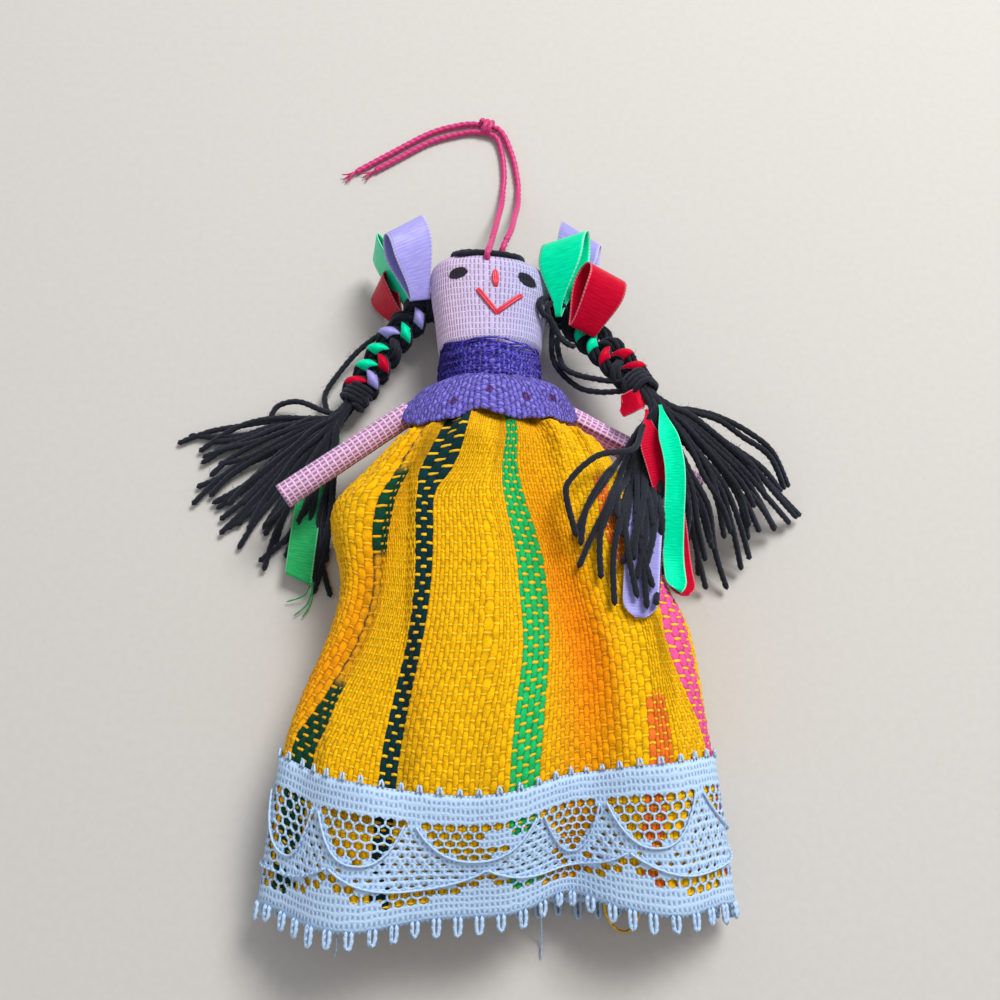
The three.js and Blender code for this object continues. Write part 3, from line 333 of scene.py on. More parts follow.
def fibres(bm, paths, count, radius, longest, dice):
    """Short fibres that stand off some strands. All are cut from one grid, with three sides each."""
    hairs = []
    for _ in range(count):
        path = dice.choice(paths)
        k = dice.randrange(1, len(path) - 1)
        head = (path[k + 1] - path[k - 1]).normalized()
        out = Vector([dice.uniform(-1, 1) for _ in range(3)])
        out = (out - head * out.dot(head)).normalized()
        lean = out * dice.uniform(SHORTEST, 1) + head * dice.uniform(-1, 1)
        way = lean.normalized() * dice.uniform(SHORTEST, 1) * longest
        curl = head.cross(out) * dice.uniform(-FIBRE_CURL, FIBRE_CURL) * longest
        hairs.append((path[k] + out * radius * FIBRE_ROOT, way, curl, out, head))

    def place(u, v):
        column = round(u * (CORNERS * count - 1))
        root, way, curl, out, head = hairs[column // CORNERS]
        thick = FIBRE * (1 - v) if v > 0 else 0
        turn = math.tau * (column % CORNERS) / (CORNERS - 1)
        at = root + way * v + curl * v * v + (out * math.sin(turn) + head * math.cos(turn)) * thick
        at.z = max(at.z, FIBRE)
        return at

    made = panel(bm, CORNERS * count - 1, FIBRE_RINGS, place)
    columns = {vert: i % (CORNERS * count) for i, vert in enumerate(made)}
    gaps = []
    for face in {face for vert in made for face in vert.link_faces}:
        if len({columns[vert] // CORNERS for vert in face.verts}) > 1:
            gaps.append(face)
    bmesh.ops.delete(bm, geom=gaps, context="FACES_ONLY")
    weld(bm, made)


# %% Finished pieces
def piece(bm, name, material, slot, nodes=(), body=None, thickness=0, offset=-1.0):
    """Turns a bmesh in millimetres into an object in metres. It replaces solids and moves with a body.

    A sheet gets a thickness, in millimetres, that goes inwards unless told otherwise.
    """
    bmesh.ops.scale(bm, vec=(MM, MM, MM), verts=bm.verts)
    mesh = bpy.data.meshes.new(name)
    bm.to_mesh(mesh)
    bm.free()
    mesh.shade_smooth()
    mesh.materials.append(material)
    made = bpy.data.objects.new(name, mesh)
    bpy.context.collection.objects.link(made)
    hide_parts(*nodes)
    if body:
        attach(made, body)
    if thickness:
        wall = made.modifiers.new("cloth", "SOLIDIFY")
        wall.thickness = thickness * MM
        wall.offset = offset
        wall.use_even_offset = False
    print(name, len(mesh.polygons), "faces")
    return made


def dyed_thread(name, stretch, grain, dark, light, relief, shine):
    """Dyed thread: a noise drawn out along it gives its two tones and the relief of its fibres.

    The stretch is across and along the thread, the grain a scale and a detail, the dark and the light
    tone each a place and a colour, the relief a strength and millimetres, and shine the shader's own.
    """
    material, tree = start_material(name)
    drawn = add(tree, "Mapping", {"Vector": add(tree, "UVMap"), "Scale": (*stretch, 1.0)})
    fibre = add(tree, "TexNoise", {"Vector": drawn, "Scale": grain[0], "Detail": grain[1]})
    dye = add(tree, "ValToRGB", {0: fibre})
    stops(dye, dark, light)
    shader = add(tree, "BsdfPrincipled", {"Base Color": dye, **shine})
    if relief:
        strength, high = relief
        lift = add(tree, "Bump", {"Height": fibre, "Strength": strength, "Distance": high * MM})
        tree.links.new(lift.outputs[0], shader.inputs["Normal"])
    add(tree, "OutputMaterial", {"Surface": shader})
    return material


# %% [markdown]
# ## Hanging cord
# Two strands of twisted cotton leave the crown, meet in a knot and run out in two cut ends. Each strand and
# its end are one cord, 53 or 60 mm long, and the cord is real two-ply geometry. The route repeats the
# solids'.

# %% Mercerised cotton cord
EXIT = Vector((0, 42.38, 10.4))
LYING = -9.8
CORD_RADIUS = 0.55
CORD_PITCH = 2.2
CORD_LAY = {"sides": 10, "pitch": CORD_PITCH, "groove": 0.34}
CORD_STEP = 0.32
FRONT_STRAND = [
    (0.3, -0.1, 0.7), (0.7, 2.7, -1.2), (1.4, 8.4, -5.4), (1.9, 12.6, -8.4), (2.1, 16, LYING + 0.1),
    (2.3, 18.9, LYING), (1.9, 23.4, LYING), (0.7, 26.7, LYING + 0.2),
]
BACK_STRAND = [
    (2.5, -0.3, 0.8), (3.4, 2.9, -1.1), (4, 7.7, -5), (4.6, 12.1, -8.2), (4.7, 15.6, LYING + 0.1),
    (4.6, 18, LYING), (3.7, 23, LYING), (1.5, 28, LYING + 0.2),
]
LONG_END = [
    (-2.8, 29.3, LYING + 0.1), (-6.5, 28.9, LYING), (-11, 27.3, LYING), (-17.5, 23.3, LYING),
    (-23.5, 19.5, LYING),
]
SHORT_END = [
    (-2.8, 27.7, LYING + 0.1), (-6.5, 27.1, LYING), (-10.8, 25.6, LYING), (-16, 22.4, LYING),
    (-20.2, 19.8, LYING),
]

# Mercerised cotton: a silky thread whose pink runs from deep to bright along its fibres.
cotton = dyed_thread(
    "mercerised_cotton", stretch=(6.0, 0.8), grain=(4.0, 4.0), dark=(0.3, "#B01058"), light=(0.75, "#E83A8C"),
    relief=(0.4, 0.1), shine={"Roughness": 0.45, "Sheen Weight": 0.3, "Sheen Roughness": 0.4})


def cord(name, run, end, nodes):
    """One strand of the hanging cord, from the crown to its cut end."""
    bm = bmesh.new()
    path = thread(bm, [EXIT + Vector(p) for p in run + end], CORD_STEP, CORD_RADIUS, **CORD_LAY)
    made = piece(bm, name, cotton, "cord_thread", nodes, "hanging_loop")
    length = length_of(path)
    print(name, "is", round(length, 1), "mm long")
    return path


front_path = cord("cord_front", FRONT_STRAND, SHORT_END, ["loop_strand_front", "loop_tail_short"])
back_path = cord("cord_back", BACK_STRAND, LONG_END, ["loop_strand_back", "loop_tail_long"])

# %% Knot, frayed ends and the sewn-in start of the cord
KNOT_AT = EXIT + Vector((-0.8, 28.5, LYING + 0.5))
KNOT_WAY = Vector((-0.97, 0.2, 0)).normalized()
KNOT_HALF = (0.95, 1.05, 0.62)  # along, across and up
KNOT_TURNS = 2.2
KNOT_STEPS = 60
KNOT_CORD = 0.5
FRAY_COUNT = 6
FRAY_LENGTH = 2.6
FRAY_SPREAD = 0.9
FRAY_THREAD = 0.13
SEWN_IN = [
    [(0.3, 42.4, 11), (0.1, 40.3, 13.2), (-0.1, 38.5, 15.1), (-0.3, 37.4, 15.8), (-0.4, 36.8, 15.5),
     (-0.42, 36.4, 14.2)],
    [(2.5, 42.2, 11.1), (2.2, 41, 11.6), (1.9, 40, 11.4), (1.7, 39.2, 10.4)],
]

bm = bmesh.new()
across = KNOT_WAY.cross(UP)
coil = []
for i in range(KNOT_STEPS + 1):
    t = i / KNOT_STEPS
    turn = t * KNOT_TURNS * math.tau
    at = KNOT_AT + KNOT_WAY * mix(-KNOT_HALF[0], KNOT_HALF[0], t)
    coil.append(at + across * math.cos(turn) * KNOT_HALF[1] + UP * math.sin(turn) * KNOT_HALF[2])
strand(bm, coil, KNOT_CORD, pitch=CORD_PITCH, groove=0.3)
piece(bm, "cord_knot", cotton, "cord_thread", ["loop_knot"], "hanging_loop")

bm = bmesh.new()
dice = random.Random(3)
for path in (front_path, back_path):
    end = path[-1]
    head = (end - path[-6]).normalized()
    side = head.cross(UP)
    for _ in range(FRAY_COUNT):
        reach = FRAY_LENGTH * dice.uniform(0.5, 1)
        spread = dice.uniform(-FRAY_SPREAD, FRAY_SPREAD)
        middle = end + head * reach * 0.5 + side * spread * 0.4 + UP * dice.uniform(-0.2, 0.3)
        tip = end + head * reach + side * spread * 1.2 + UP * dice.uniform(-0.3, 0.2)
        thread(bm, [end - head, middle, tip], 0.4, FRAY_THREAD, 5, pitch=1.0)
piece(bm, "cord_fray", cotton, "cord_thread", (), "hanging_loop")

bm = bmesh.new()
for points in SEWN_IN:
    thread(bm, points, CORD_STEP, CORD_RADIUS, **CORD_LAY)
piece(bm, "cord_stitch", cotton, "cord_thread", (), "doll")

# %% [markdown]
# ## Woven cloth
# Gauze, crepe, calico and skirt cloth are all plain weaves: each thread goes over one and under the next.
# One drawing of that serves them all, on a UV map that counts threads. It gives the height of the threads,
# which of the two shows, and the holes, and each cloth then has its own colours and thread widths.

# %% Plain weave
def weave(tree, warp, weft, stray):
    """Draws a plain weave: the thread count across, the height from 0 to 1, and where the warp shows.

    Each thread has a half width, a level and a swing over and under the other, and strays from its line.
    """
    flat = add(tree, "UVMap")
    bent = add(tree, "TexNoise", {"Vector": flat, "Scale": 0.7, "Detail": 2.0}).outputs["Color"]
    evenly = add(tree, "VectorMath", {0: bent, 1: (0.5, 0.5, 0.5)}, operation="SUBTRACT")
    moved = add(tree, "VectorMath", {0: evenly, 1: (stray, stray, stray), 2: flat}, operation="MULTIPLY_ADD")
    spot = add(tree, "SeparateXYZ", {0: moved})
    across, along = spot.outputs[0], spot.outputs[1]
    column = add(tree, "Math", {0: across}, operation="FLOOR")
    row = add(tree, "Math", {0: along}, operation="FLOOR")
    both = add(tree, "Math", {0: column, 1: row}, operation="ADD")
    odd = add(tree, "Math", {0: both, 1: 2.0}, operation="FLOORED_MODULO")
    over = add(tree, "Math", {0: odd, 1: -2.0, 2: 1.0}, operation="MULTIPLY_ADD")
    tops = []
    for near, far, (half, level, swing) in ((across, along, warp), (along, across, weft)):
        share = add(tree, "Math", {0: near}, operation="FRACT")
        centred = add(tree, "Math", {0: share, 1: 0.5}, operation="SUBTRACT")
        off = add(tree, "Math", {0: centred}, operation="ABSOLUTE")
        body = add(tree, "MapRange", {0: off, 1: half * 0.1, 2: half, 3: 1.0, 4: 0.0},
                   interpolation_type="SMOOTHSTEP")
        passed = add(tree, "Math", {0: far}, operation="FRACT")
        step = add(tree, "Math", {0: passed, 1: 0.5}, operation="SUBTRACT")
        turn = add(tree, "Math", {0: step, 1: math.pi}, operation="MULTIPLY")
        arch = add(tree, "Math", {0: turn}, operation="COSINE")
        signed = add(tree, "Math", {0: over, 1: swing if near == across else -swing}, operation="MULTIPLY")
        rise = add(tree, "Math", {0: arch, 1: signed, 2: level}, operation="MULTIPLY_ADD")
        tops.append(add(tree, "Math", {0: rise, 1: body}, operation="MULTIPLY"))
    height = add(tree, "Math", {0: tops[0], 1: tops[1]}, operation="MAXIMUM")
    warp_shows = add(tree, "Math", {0: tops[0], 1: tops[1]}, operation="GREATER_THAN")
    return across, height, warp_shows


def striped(tree, across, plain, count, bands):
    """Colour of the warps: plain, with bands of other colours except where a tuck hides them."""
    whole = add(tree, "Math", {0: across}, operation="FLOOR")
    middle = add(tree, "Math", {0: whole, 1: 0.5}, operation="ADD")
    share = add(tree, "Math", {0: middle, 1: float(count)}, operation="DIVIDE")
    ramp = add(tree, "ValToRGB", {0: share})
    elements = ramp.color_ramp.elements
    ramp.color_ramp.interpolation = "CONSTANT"
    elements.remove(elements[1])
    elements[0].color = plain
    for first, warps, colour in sorted(bands):
        elements.new(first / count).color = linear(colour)
        elements.new((first + warps) / count).color = plain
    tucked = add(tree, "Attribute", attribute_name="tucked").outputs["Fac"]
    return add(tree, "Mix", {0: tucked, 6: ramp, 7: plain}, data_type="RGBA").outputs[2]


def woven(name, colours, threads, relief, gap_to, slub, hairs, stray, stripes=None):
    """A woven cloth, with the colours of its warp and weft and the tint of its gaps.

    The threads are warp and weft as in weave. The relief is in millimetres, gap_to is the height where a
    gap ends, and the rest is how uneven, hairy and stray the threads are.
    """
    material, tree = start_material(name)
    warp, weft, gap = [linear(colour) for colour in colours]
    across, height, warp_shows = weave(tree, *threads, stray)
    warp_dye = striped(tree, across, warp, *stripes) if stripes else warp
    plain = add(tree, "Mix", {0: warp_shows, 6: weft, 7: warp_dye}, data_type="RGBA").outputs[2]
    flat = add(tree, "UVMap")
    uneven = add(tree, "TexNoise", {"Vector": flat, "Scale": 0.9, "Detail": 3.0})
    tone = add(tree, "MapRange", {0: uneven, 1: 0.3, 2: 0.7, 3: 1 - slub, 4: 1 + slub * 0.6})
    times = {"data_type": "RGBA", "blend_type": "MULTIPLY"}
    slubbed = add(tree, "Mix", {0: 1.0, 6: plain, 7: tone}, **times).outputs[2]
    # Low places between the threads take the gap tint: partly the dark seen through the cloth, partly painted
    # shade.
    gaps = add(tree, "Mix", {0: 1.0, 6: slubbed, 7: gap}, **times).outputs[2]
    cover = add(tree, "MapRange", {0: height, 1: 0.04, 2: gap_to, 3: 0.0, 4: 1.0},
                interpolation_type="SMOOTHSTEP")
    colour = add(tree, "Mix", {0: cover, 6: gaps, 7: slubbed}, data_type="RGBA").outputs[2]
    fuzz = add(tree, "TexNoise", {"Vector": flat, "Scale": 5.0, "Detail": 3.0})
    rough = add(tree, "Math", {0: fuzz, 1: hairs, 2: height}, operation="MULTIPLY_ADD")
    lift = add(tree, "Bump", {"Height": rough, "Strength": 1.0, "Distance": relief * MM})
    shader = add(tree, "BsdfPrincipled", {
        "Base Color": colour, "Roughness": 0.88, "Normal": lift, "Specular IOR Level": 0.1,
        "Sheen Weight": 0.04, "Sheen Roughness": 0.5})
    add(tree, "OutputMaterial", {"Surface": shader})
    return material


# %% Dyes, and painted light and shade, on a cloth
INK_GRAIN = 1600.0


def base_colour(material):
    """The socket that takes the colour of a cloth, and the socket that feeds it."""
    shader = next(node for node in material.node_tree.nodes if node.type == "BSDF_PRINCIPLED")
    taking = shader.inputs["Base Color"]
    return taking, taking.links[0].from_socket


def tint(material, amount, colour):
    """Multiplies the colour of a cloth by another one, as much as a socket of its tree says."""
    tree = material.node_tree
    taking, bare = base_colour(material)
    toned = add(tree, "Mix", {0: amount, 6: bare, 7: linear(colour)}, data_type="RGBA", blend_type="MULTIPLY")
    tree.links.new(toned.outputs[2], taking)


def tint_across(material, start, end, colour):
    """Tints a cloth more and more from one x to another, in millimetres."""
    tree = material.node_tree
    place = add(tree, "SeparateXYZ", {0: add(tree, "TexCoord").outputs["Object"]})
    amount = add(tree, "MapRange", {0: place.outputs[0], 1: start * MM, 2: end * MM})
    tint(material, amount.outputs[0], colour)


def mark(material, places, colour, strength, bleeding):
    """Dyes spots on the front of a cloth, each with a place, half sizes and a turn."""
    tree = material.node_tree
    taking, bare = base_colour(material)
    place = add(tree, "TexCoord").outputs["Object"]
    height = add(tree, "SeparateXYZ", {0: place}).outputs[2]
    front = add(tree, "Math", {0: height, 1: BODY_Z * MM}, operation="GREATER_THAN")
    bleed = add(tree, "TexNoise", {"Vector": place, "Scale": INK_GRAIN})
    inner, outer = 0.9 + bleeding / 2, 1.05 + bleeding / 2
    for x, y, half_width, half_height, turn in places:
        local = add(tree, "Mapping", {
            "Vector": place, "Location": (x * MM, y * MM, 0), "Rotation": (0, 0, math.radians(turn)),
            "Scale": (half_width * MM, half_height * MM, 1.0)}, vector_type="TEXTURE")
        flat = add(tree, "VectorMath", {0: local, 1: (1.0, 1.0, 0.0)}, operation="MULTIPLY")
        far = add(tree, "VectorMath", {0: flat}, operation="LENGTH").outputs["Value"]
        soaked = add(tree, "Math", {0: bleed, 1: bleeding, 2: far}, operation="MULTIPLY_ADD")
        spot = add(tree, "MapRange", {0: soaked, 1: inner, 2: outer, 3: strength, 4: 0.0})
        dyed = add(tree, "Math", {0: spot, 1: front}, operation="MULTIPLY")
        bare = add(tree, "Mix", {0: dyed, 6: bare, 7: linear(colour)}, data_type="RGBA").outputs[2]
    tree.links.new(bare, taking)


# %% [markdown]
# ## Skirt
# A tube of loose hand-woven cotton, gathered on a thread under the blouse, with stripes that run with the
# warp. Its form is the solid's own formula with two small folds added: an oval that widens to the hem, flat
# where it lies on the table, with a few main folds. The grid has two points for each thread, so every
# crossing is raised or sunk in the mesh itself.

# %% Form of the skirt
WAIST_Y = 12.6
SKIRT_LENGTH = 70.4
SKIRT_ROUNDNESS = 2.6
SKIRT_STATIONS = [  # share of the length, reach to the left, reach to the right, height of the front
    (0.012, 11.9, 12.4, 15.9), (0.065, 14.6, 16.6, 17.2), (0.13, 18.7, 19.4, 17.8),
    (0.21, 23.2, 21.8, 18.2), (0.37, 21.4, 25.6, 18.8), (0.47, 22.6, 28.6, 19.2),
    (0.66, 27.6, 30.4, 18.8), (0.81, 29.4, 31.8, 16.2), (1.02, 31.2, 33.4, 11.4),
]
BELLY_SHARE = 0.44
WAIST_GATHERS = 9
GATHER_DEPTH = 0.9
GATHER_FADE = 0.22
FRONT_FROM = 0.15
FRONT_FULL = 0.75
FOLDS = [  # the line that each fold follows, its half width, and its height at the waist, middle and hem
    ([(0, -8), (0.18, -13.5), (0.46, -18.8), (0.6, -24), (1, -27)], 3, (-0.6, -2.6, -0.4)),
    ([(0, 5), (0.24, 8), (0.55, 14), (1, 10.5)], 4.6, (-0.8, -3.6, -3.8)),
    ([(0, -9), (0.5, -12), (1, -19)], 7, (0.3, 0.8, 3.2)),
    ([(0, 12), (0.4, 18), (0.75, 25), (1, 24)], 4, (0.3, 1.2, 1.2)),
    ([(0, -5), (0.2, -8), (0.45, -9), (0.7, -10.5), (1, -12)], 3, (-0.2, -1.2, -0.3)),
    ([(0, -1), (0.3, 0.4), (0.6, 1.6), (1, 2)], 2.6, (0.2, 0.7, 0.2)),
]
BELLY_DROOP = 5.6
DROOP_MIDDLE = -2
DROOP_HALF = 19
HEM_RETURN = 4.2
DROOP_PEAK = 0.74
HEM_DROOPS = [(-19, 9, 2.8), (10.5, 5, -2.6), (25, 6, 1.4)]  # x, half width, droop
LACE_WIDTH = 21
LACE_OVERHANG = 2
LACE_RISE = 0.05
LACE_TOP = 1 - LACE_WIDTH / SKIRT_LENGTH
LACE_STACK = 1.1


def column_at(stations, share, column):
    """Value of one column of a table whose first column is the share of the way."""
    return through([(station[0], station[column]) for station in stations], share)


def fold_height(heights, share):
    waist, middle, hem = heights
    if share < 0.5:
        return mix(waist, middle, ease(0, 0.5, share))
    return mix(middle, hem, ease(0.5, 1, share))


def folds_at(x, share):
    return sum(
        fold_height(heights, share) * bump(x - through(line, share), half) for line, half, heights in FOLDS)


def droop_at(x, share):
    belly = BELLY_DROOP * ease(0, DROOP_PEAK, share) - HEM_RETURN * ease(DROOP_PEAK, 1, share)
    belly *= bump(x - DROOP_MIDDLE, DROOP_HALF)
    return belly + share ** 3 * sum(drop * bump(x - at, half) for at, half, drop in HEM_DROOPS)


def skirt_point(angle, share):
    """Point of the skirt's outer face. The angle runs from the right edge over the front to the left edge."""
    across, rise = power_circle(angle, SKIRT_ROUNDNESS)
    x = across * column_at(SKIRT_STATIONS, share, 1 if across < 0 else 2)
    front = column_at(SKIRT_STATIONS, share, 3)
    belly = front * BELLY_SHARE
    facing = ease(FRONT_FROM, FRONT_FULL, math.sin(angle))
    gather = GATHER_DEPTH * (1 - ease(0, GATHER_FADE, share)) * math.cos(WAIST_GATHERS * 2 * angle)
    z = belly + rise * (front - belly) + facing * (folds_at(x, share) + gather)
    y = WAIST_Y - share * SKIRT_LENGTH - facing * droop_at(x, share)
    return Vector((x, y, max(z, LACE_STACK * ease(LACE_TOP - LACE_RISE, LACE_TOP, share))))


# %% Where each warp runs
WARPS = 176
WEFTS = 70
LEVEL_SHARE = 0.75
ROUND_STEPS = 720
# A stripe has its angle near the hem, its warps and its colour. Where it leans, the real angles of its right
# and left edge follow, at shares of the length.
STRIPES = [
    (111, 3, "#0A3236", [
        (0, 97, 112), (0.1, 98, 113), (0.15, 100, 113.5), (0.19, 103.5, 110.5), (0.27, 104, 110.5),
        (0.4, 106.5, 113), (0.6, 109, 114.5), (1, 108.5, 113.5)]),
    (84, 4, "#1FC46A", [
        (0, 80, 84), (0.06, 80.5, 84.5), (0.13, 82.5, 86.5), (0.19, 81.5, 86.5), (0.3, 77.5, 84),
        (0.36, 77, 83.5), (0.47, 78.5, 83.5), (0.6, 80.5, 85.5), (0.72, 82, 86.5), (1, 82, 86.5)]),
    (147.5, 3, "#0B4A34", [
        (0, 121, 124), (0.17, 119, 121.5), (0.23, 120, 123), (0.28, 123, 126), (0.42, 129, 131),
        (0.57, 137, 141), (0.63, 138.5, 147), (0.68, 141.5, 153.5), (1, 142, 154)]),
    (48.5, 4, "#FB7A2A", [
        (0, 36, 42), (0.19, 40, 46.5), (0.25, 42.5, 49), (0.3, 42, 48), (0.58, 42.5, 47.5), (0.7, 42, 49),
        (0.78, 47, 53), (0.88, 50, 56), (1, 50, 56)]),
    (9, 4, "#F4589E", [
        (0, -2, 10), (0.25, 2, 18), (0.36, 5, 27), (0.41, 9, 32), (0.47, 15, 37), (0.53, 15, 35.5),
        (0.59, 13, 30), (0.66, 6, 21), (0.75, 2, 15), (1, 1, 14)]),
    (200, 3, "#0A3236", []), (228, 4, "#1FC46A", []), (262, 3, "#FB7A2A", []),
    (-30, 3, "#0B4A34", []), (-62, 4, "#1FC46A", []),
]
UNMOVED = (-40, 66, 250)

level = [skirt_point(from_back(i / ROUND_STEPS), LEVEL_SHARE) for i in range(ROUND_STEPS + 1)]
round_run = [0.0]
for a, b in zip(level, level[1:]):
    round_run.append(round_run[-1] + (b - a).length)
GIRTH = round_run[-1]


def nominal_angle(u):
    """Angle, in degrees, of a warp at a share of the way round, with even spacing near the hem."""
    goal = u * GIRTH
    k = next((i for i, run in enumerate(round_run) if run >= goal), ROUND_STEPS)
    if k == 0:
        return -90.0
    t = (goal - round_run[k - 1]) / (round_run[k] - round_run[k - 1])
    return -90 + 360 * (k - 1 + t) / ROUND_STEPS


def share_round(angle):
    """Share of the way round of a nominal angle in degrees."""
    return round_run[round((angle + 90) / 360 * ROUND_STEPS)] / GIRTH


bands = []
lines = {angle: [(0, angle), (1, angle)] for angle in UNMOVED}
for angle, warps, colour, edges in STRIPES:
    first = round(share_round(angle) * WARPS - warps / 2)
    bands.append((first, warps, colour))
    if edges:
        lines[nominal_angle(first / WARPS)] = [(share, right) for share, right, _ in edges]
        lines[nominal_angle((first + warps) / WARPS)] = [(share, left) for share, _, left in edges]
marks = sorted(lines)


def leaning(angle, share):
    """Real angle of a warp: the stripes lean where the cloth is drawn into a fold."""
    for a, b in zip(marks, marks[1:]):
        if a <= angle <= b:
            return mix(through(lines[a], share), through(lines[b], share), (angle - a) / (b - a))
    return angle


print("skirt girth near the hem", round(GIRTH), "mm, warp every", round(GIRTH / WARPS, 2), "mm")

# %% Cloth of the skirt
OVAL_POWER = 2.4
HEM_SHARE = 1 - LACE_OVERHANG / SKIRT_LENGTH
TABLE_ROOM = 0.25
ARMHOLE_HALF = 11.2
ARMHOLE_FROM = (8.6, 10.1)
ARMHOLE_SIDE = (5.6, 3.4)
TUCK_SHARE = 0.035
TUCK_HALF = (7.7, 5.4)
TUCK_RISE = 1.6
PUFFS = [(-1, 3, 1.5), (9.3, 3.2, 1.0), (-9, 3, 0.6)]  # x, half width, rise
PUFF_SHARE = 0.075
PUFF_HALF = 0.04
BLOUSE_HALF = (13.0, 9.2)
BLOUSE_EDGE = 0.88
BLOUSE_ROOM = 1.4
BELOW_BLOUSE = 4
HEM_FRONT = 9.5
HEM_WAVES = [(-1, 2.6, 1.7), (9.3, 2.6, 0.7)]  # x, half width, height
columns = 2 * WARPS
rows = 2 * WEFTS
angles = [nominal_angle(i / columns) for i in range(columns + 1)]


def hem_line(x):
    """Height of the blouse's hem over the front of the skirt. The cloth puffs out under its higher places."""
    return HEM_FRONT + sum(high * bump(x - at, half) for at, half, high in HEM_WAVES)


def skirt_place(u, v):
    """Point of the cloth: it stays under the blouse, and the arms press it in below the armholes."""
    share = mix(-TUCK_SHARE, HEM_SHARE, v)
    angle = math.radians(leaning(angles[round(u * columns)], max(share, 0)))
    at = skirt_point(angle, max(share, 0.0))
    if at.z > BODY_Z:
        puff = sum(rise * bump(at.x - x, half) for x, half, rise in PUFFS)
        at.z += ease(FRONT_FROM, FRONT_FULL, math.sin(angle)) * puff * bump(share - PUFF_SHARE, PUFF_HALF)
        side = min(abs(at.x) / BLOUSE_HALF[0], BLOUSE_EDGE)
        room = BODY_Z + BLOUSE_HALF[1] * (1 - side ** OVAL_POWER) ** (1 / OVAL_POWER) - BLOUSE_ROOM
        hem = hem_line(at.x)
        at.z = min(at.z, room + BELOW_BLOUSE * ease(hem + 0.3, hem - 1.2, at.y))
    if share < 0:
        across, rise = power_circle(angle, SKIRT_ROUNDNESS)
        tuck = Vector((across * TUCK_HALF[0], WAIST_Y + TUCK_RISE, BODY_Z + rise * TUCK_HALF[1]))
        at = at.lerp(tuck, ease(0, 1, -share / TUCK_SHARE))
    pressed = ease(*ARMHOLE_FROM, at.y) * ease(*ARMHOLE_SIDE, abs(at.z - BODY_Z))
    at.x = mix(at.x, min(max(at.x, -ARMHOLE_HALF), ARMHOLE_HALF), pressed)
    at.z = max(at.z, TABLE_ROOM)
    return at


bm = bmesh.new()
for name in ("hollow", "tucked"):
    bm.verts.layers.float.new(name)
verts = panel(bm, columns, rows, skirt_place, (WARPS, WEFTS))
spots = [(i % (columns + 1), i // (columns + 1)) for i in range(len(verts))]
print("skirt points", len(verts))

# %% Painted fold shade, tucks and threads of the skirt
TUCKED_IN = [  # stripe, and the shares of the length between which a tuck hides it
    (147.5, -0.1, 0.15), (147.5, 0.3, 0.56), (48.5, -0.1, 0.17), (48.5, 0.33, 0.6),
]
STRIPE_HALF = 9
TUCK_FADE = 0.02
# Fold depth, in millimetres, that gets the full painted shade, and the share of it kept near the hem.
FOLD_SHADE_DEPTH = 4.6
SHADE_KEPT_LOW = 0.5
WARP_RAISED = 0.16
WEFT_RAISED = 0.04
THREAD_RAISED = 0.02
HOLE_SUNK = -0.14
THREAD_JITTER = 0.07
SKIRT_CLOTH = 0.35

# Hand-woven cotton: thick soft warps with thin wefts between them, seen as rows of plump yellow grains.
skirt_cotton = woven(
    "hand_woven_cotton", ("#FFC004", "#FFCC22", "#AC8A48"), ((0.84, 0.62, 0.3), (0.32, 0.3, 0.5)),
    relief=0.24, gap_to=0.6, slub=0.25, hairs=0.6, stray=0.4, stripes=(WARPS, bands))
# Painted shade: the hollows of the folds are tinted a deeper orange, as shade and bounced light would colour
# them.
painted_fold_shade = add(skirt_cotton.node_tree, "Attribute", attribute_name="hollow").outputs["Fac"]
tint(skirt_cotton, painted_fold_shade, "#FAA024")

hollow, tucked = [bm.verts.layers.float[name] for name in ("hollow", "tucked")]
# Painted shade at each point, by the depth of the fold under it and weaker towards the hem; and how far a
# tuck hides a stripe.
for vert, (i, j) in zip(verts, spots):
    share = mix(-TUCK_SHARE, HEM_SHARE, j / rows)
    deep = -folds_at(vert.co.x, max(share, 0)) / FOLD_SHADE_DEPTH if vert.co.z > BODY_Z else 0
    vert[hollow] = min(max(deep, 0), 1) * mix(1, SHADE_KEPT_LOW, ease(0.5, 0.75, share))
    vert[tucked] = 0
    for angle, low, high in TUCKED_IN:
        if abs(angles[i] - angle) < STRIPE_HALF:
            hidden = ease(low, low + TUCK_FADE, share) * ease(high, high - TUCK_FADE, share)
            vert[tucked] = max(vert[tucked], hidden)
bm.normal_update()
dice = random.Random(11)
moves = []
for i, j in spots:
    on_warp, on_weft = i % 2 == 1, j % 2 == 1
    if on_warp and on_weft:
        rise = WARP_RAISED if (i // 2 + j // 2) % 2 == 0 else WEFT_RAISED
    elif on_warp or on_weft:
        rise = THREAD_RAISED
    else:
        rise = HOLE_SUNK
    moves.append(rise + dice.uniform(-THREAD_JITTER, THREAD_JITTER))
for vert, (i, j), rise in zip(verts, spots, moves):
    vert.co += vert.normal * (0 if i in (0, columns) else rise)
bmesh.ops.remove_doubles(bm, verts=verts, dist=WELD)
skirt_tree = BVHTree.FromBMesh(bm)
skirt = piece(bm, "skirt_cloth", skirt_cotton, "skirt_cloth", ["skirt"], "doll", SKIRT_CLOTH)

# %% [markdown]
# ## Lace
# A machine-made cotton lace edging, 21 mm wide, sewn over the hem: a ribbed heading with tiny loops,
# windows of open net under it, solid scrolls, a wavy row of eyelets and a fringe of thread loops. It is
# made flat, as a honeycomb of small cells. Each cell of net is inset by the thickness of its threads and
# its middle is cut out, and then the whole strip is wrapped round the hem.

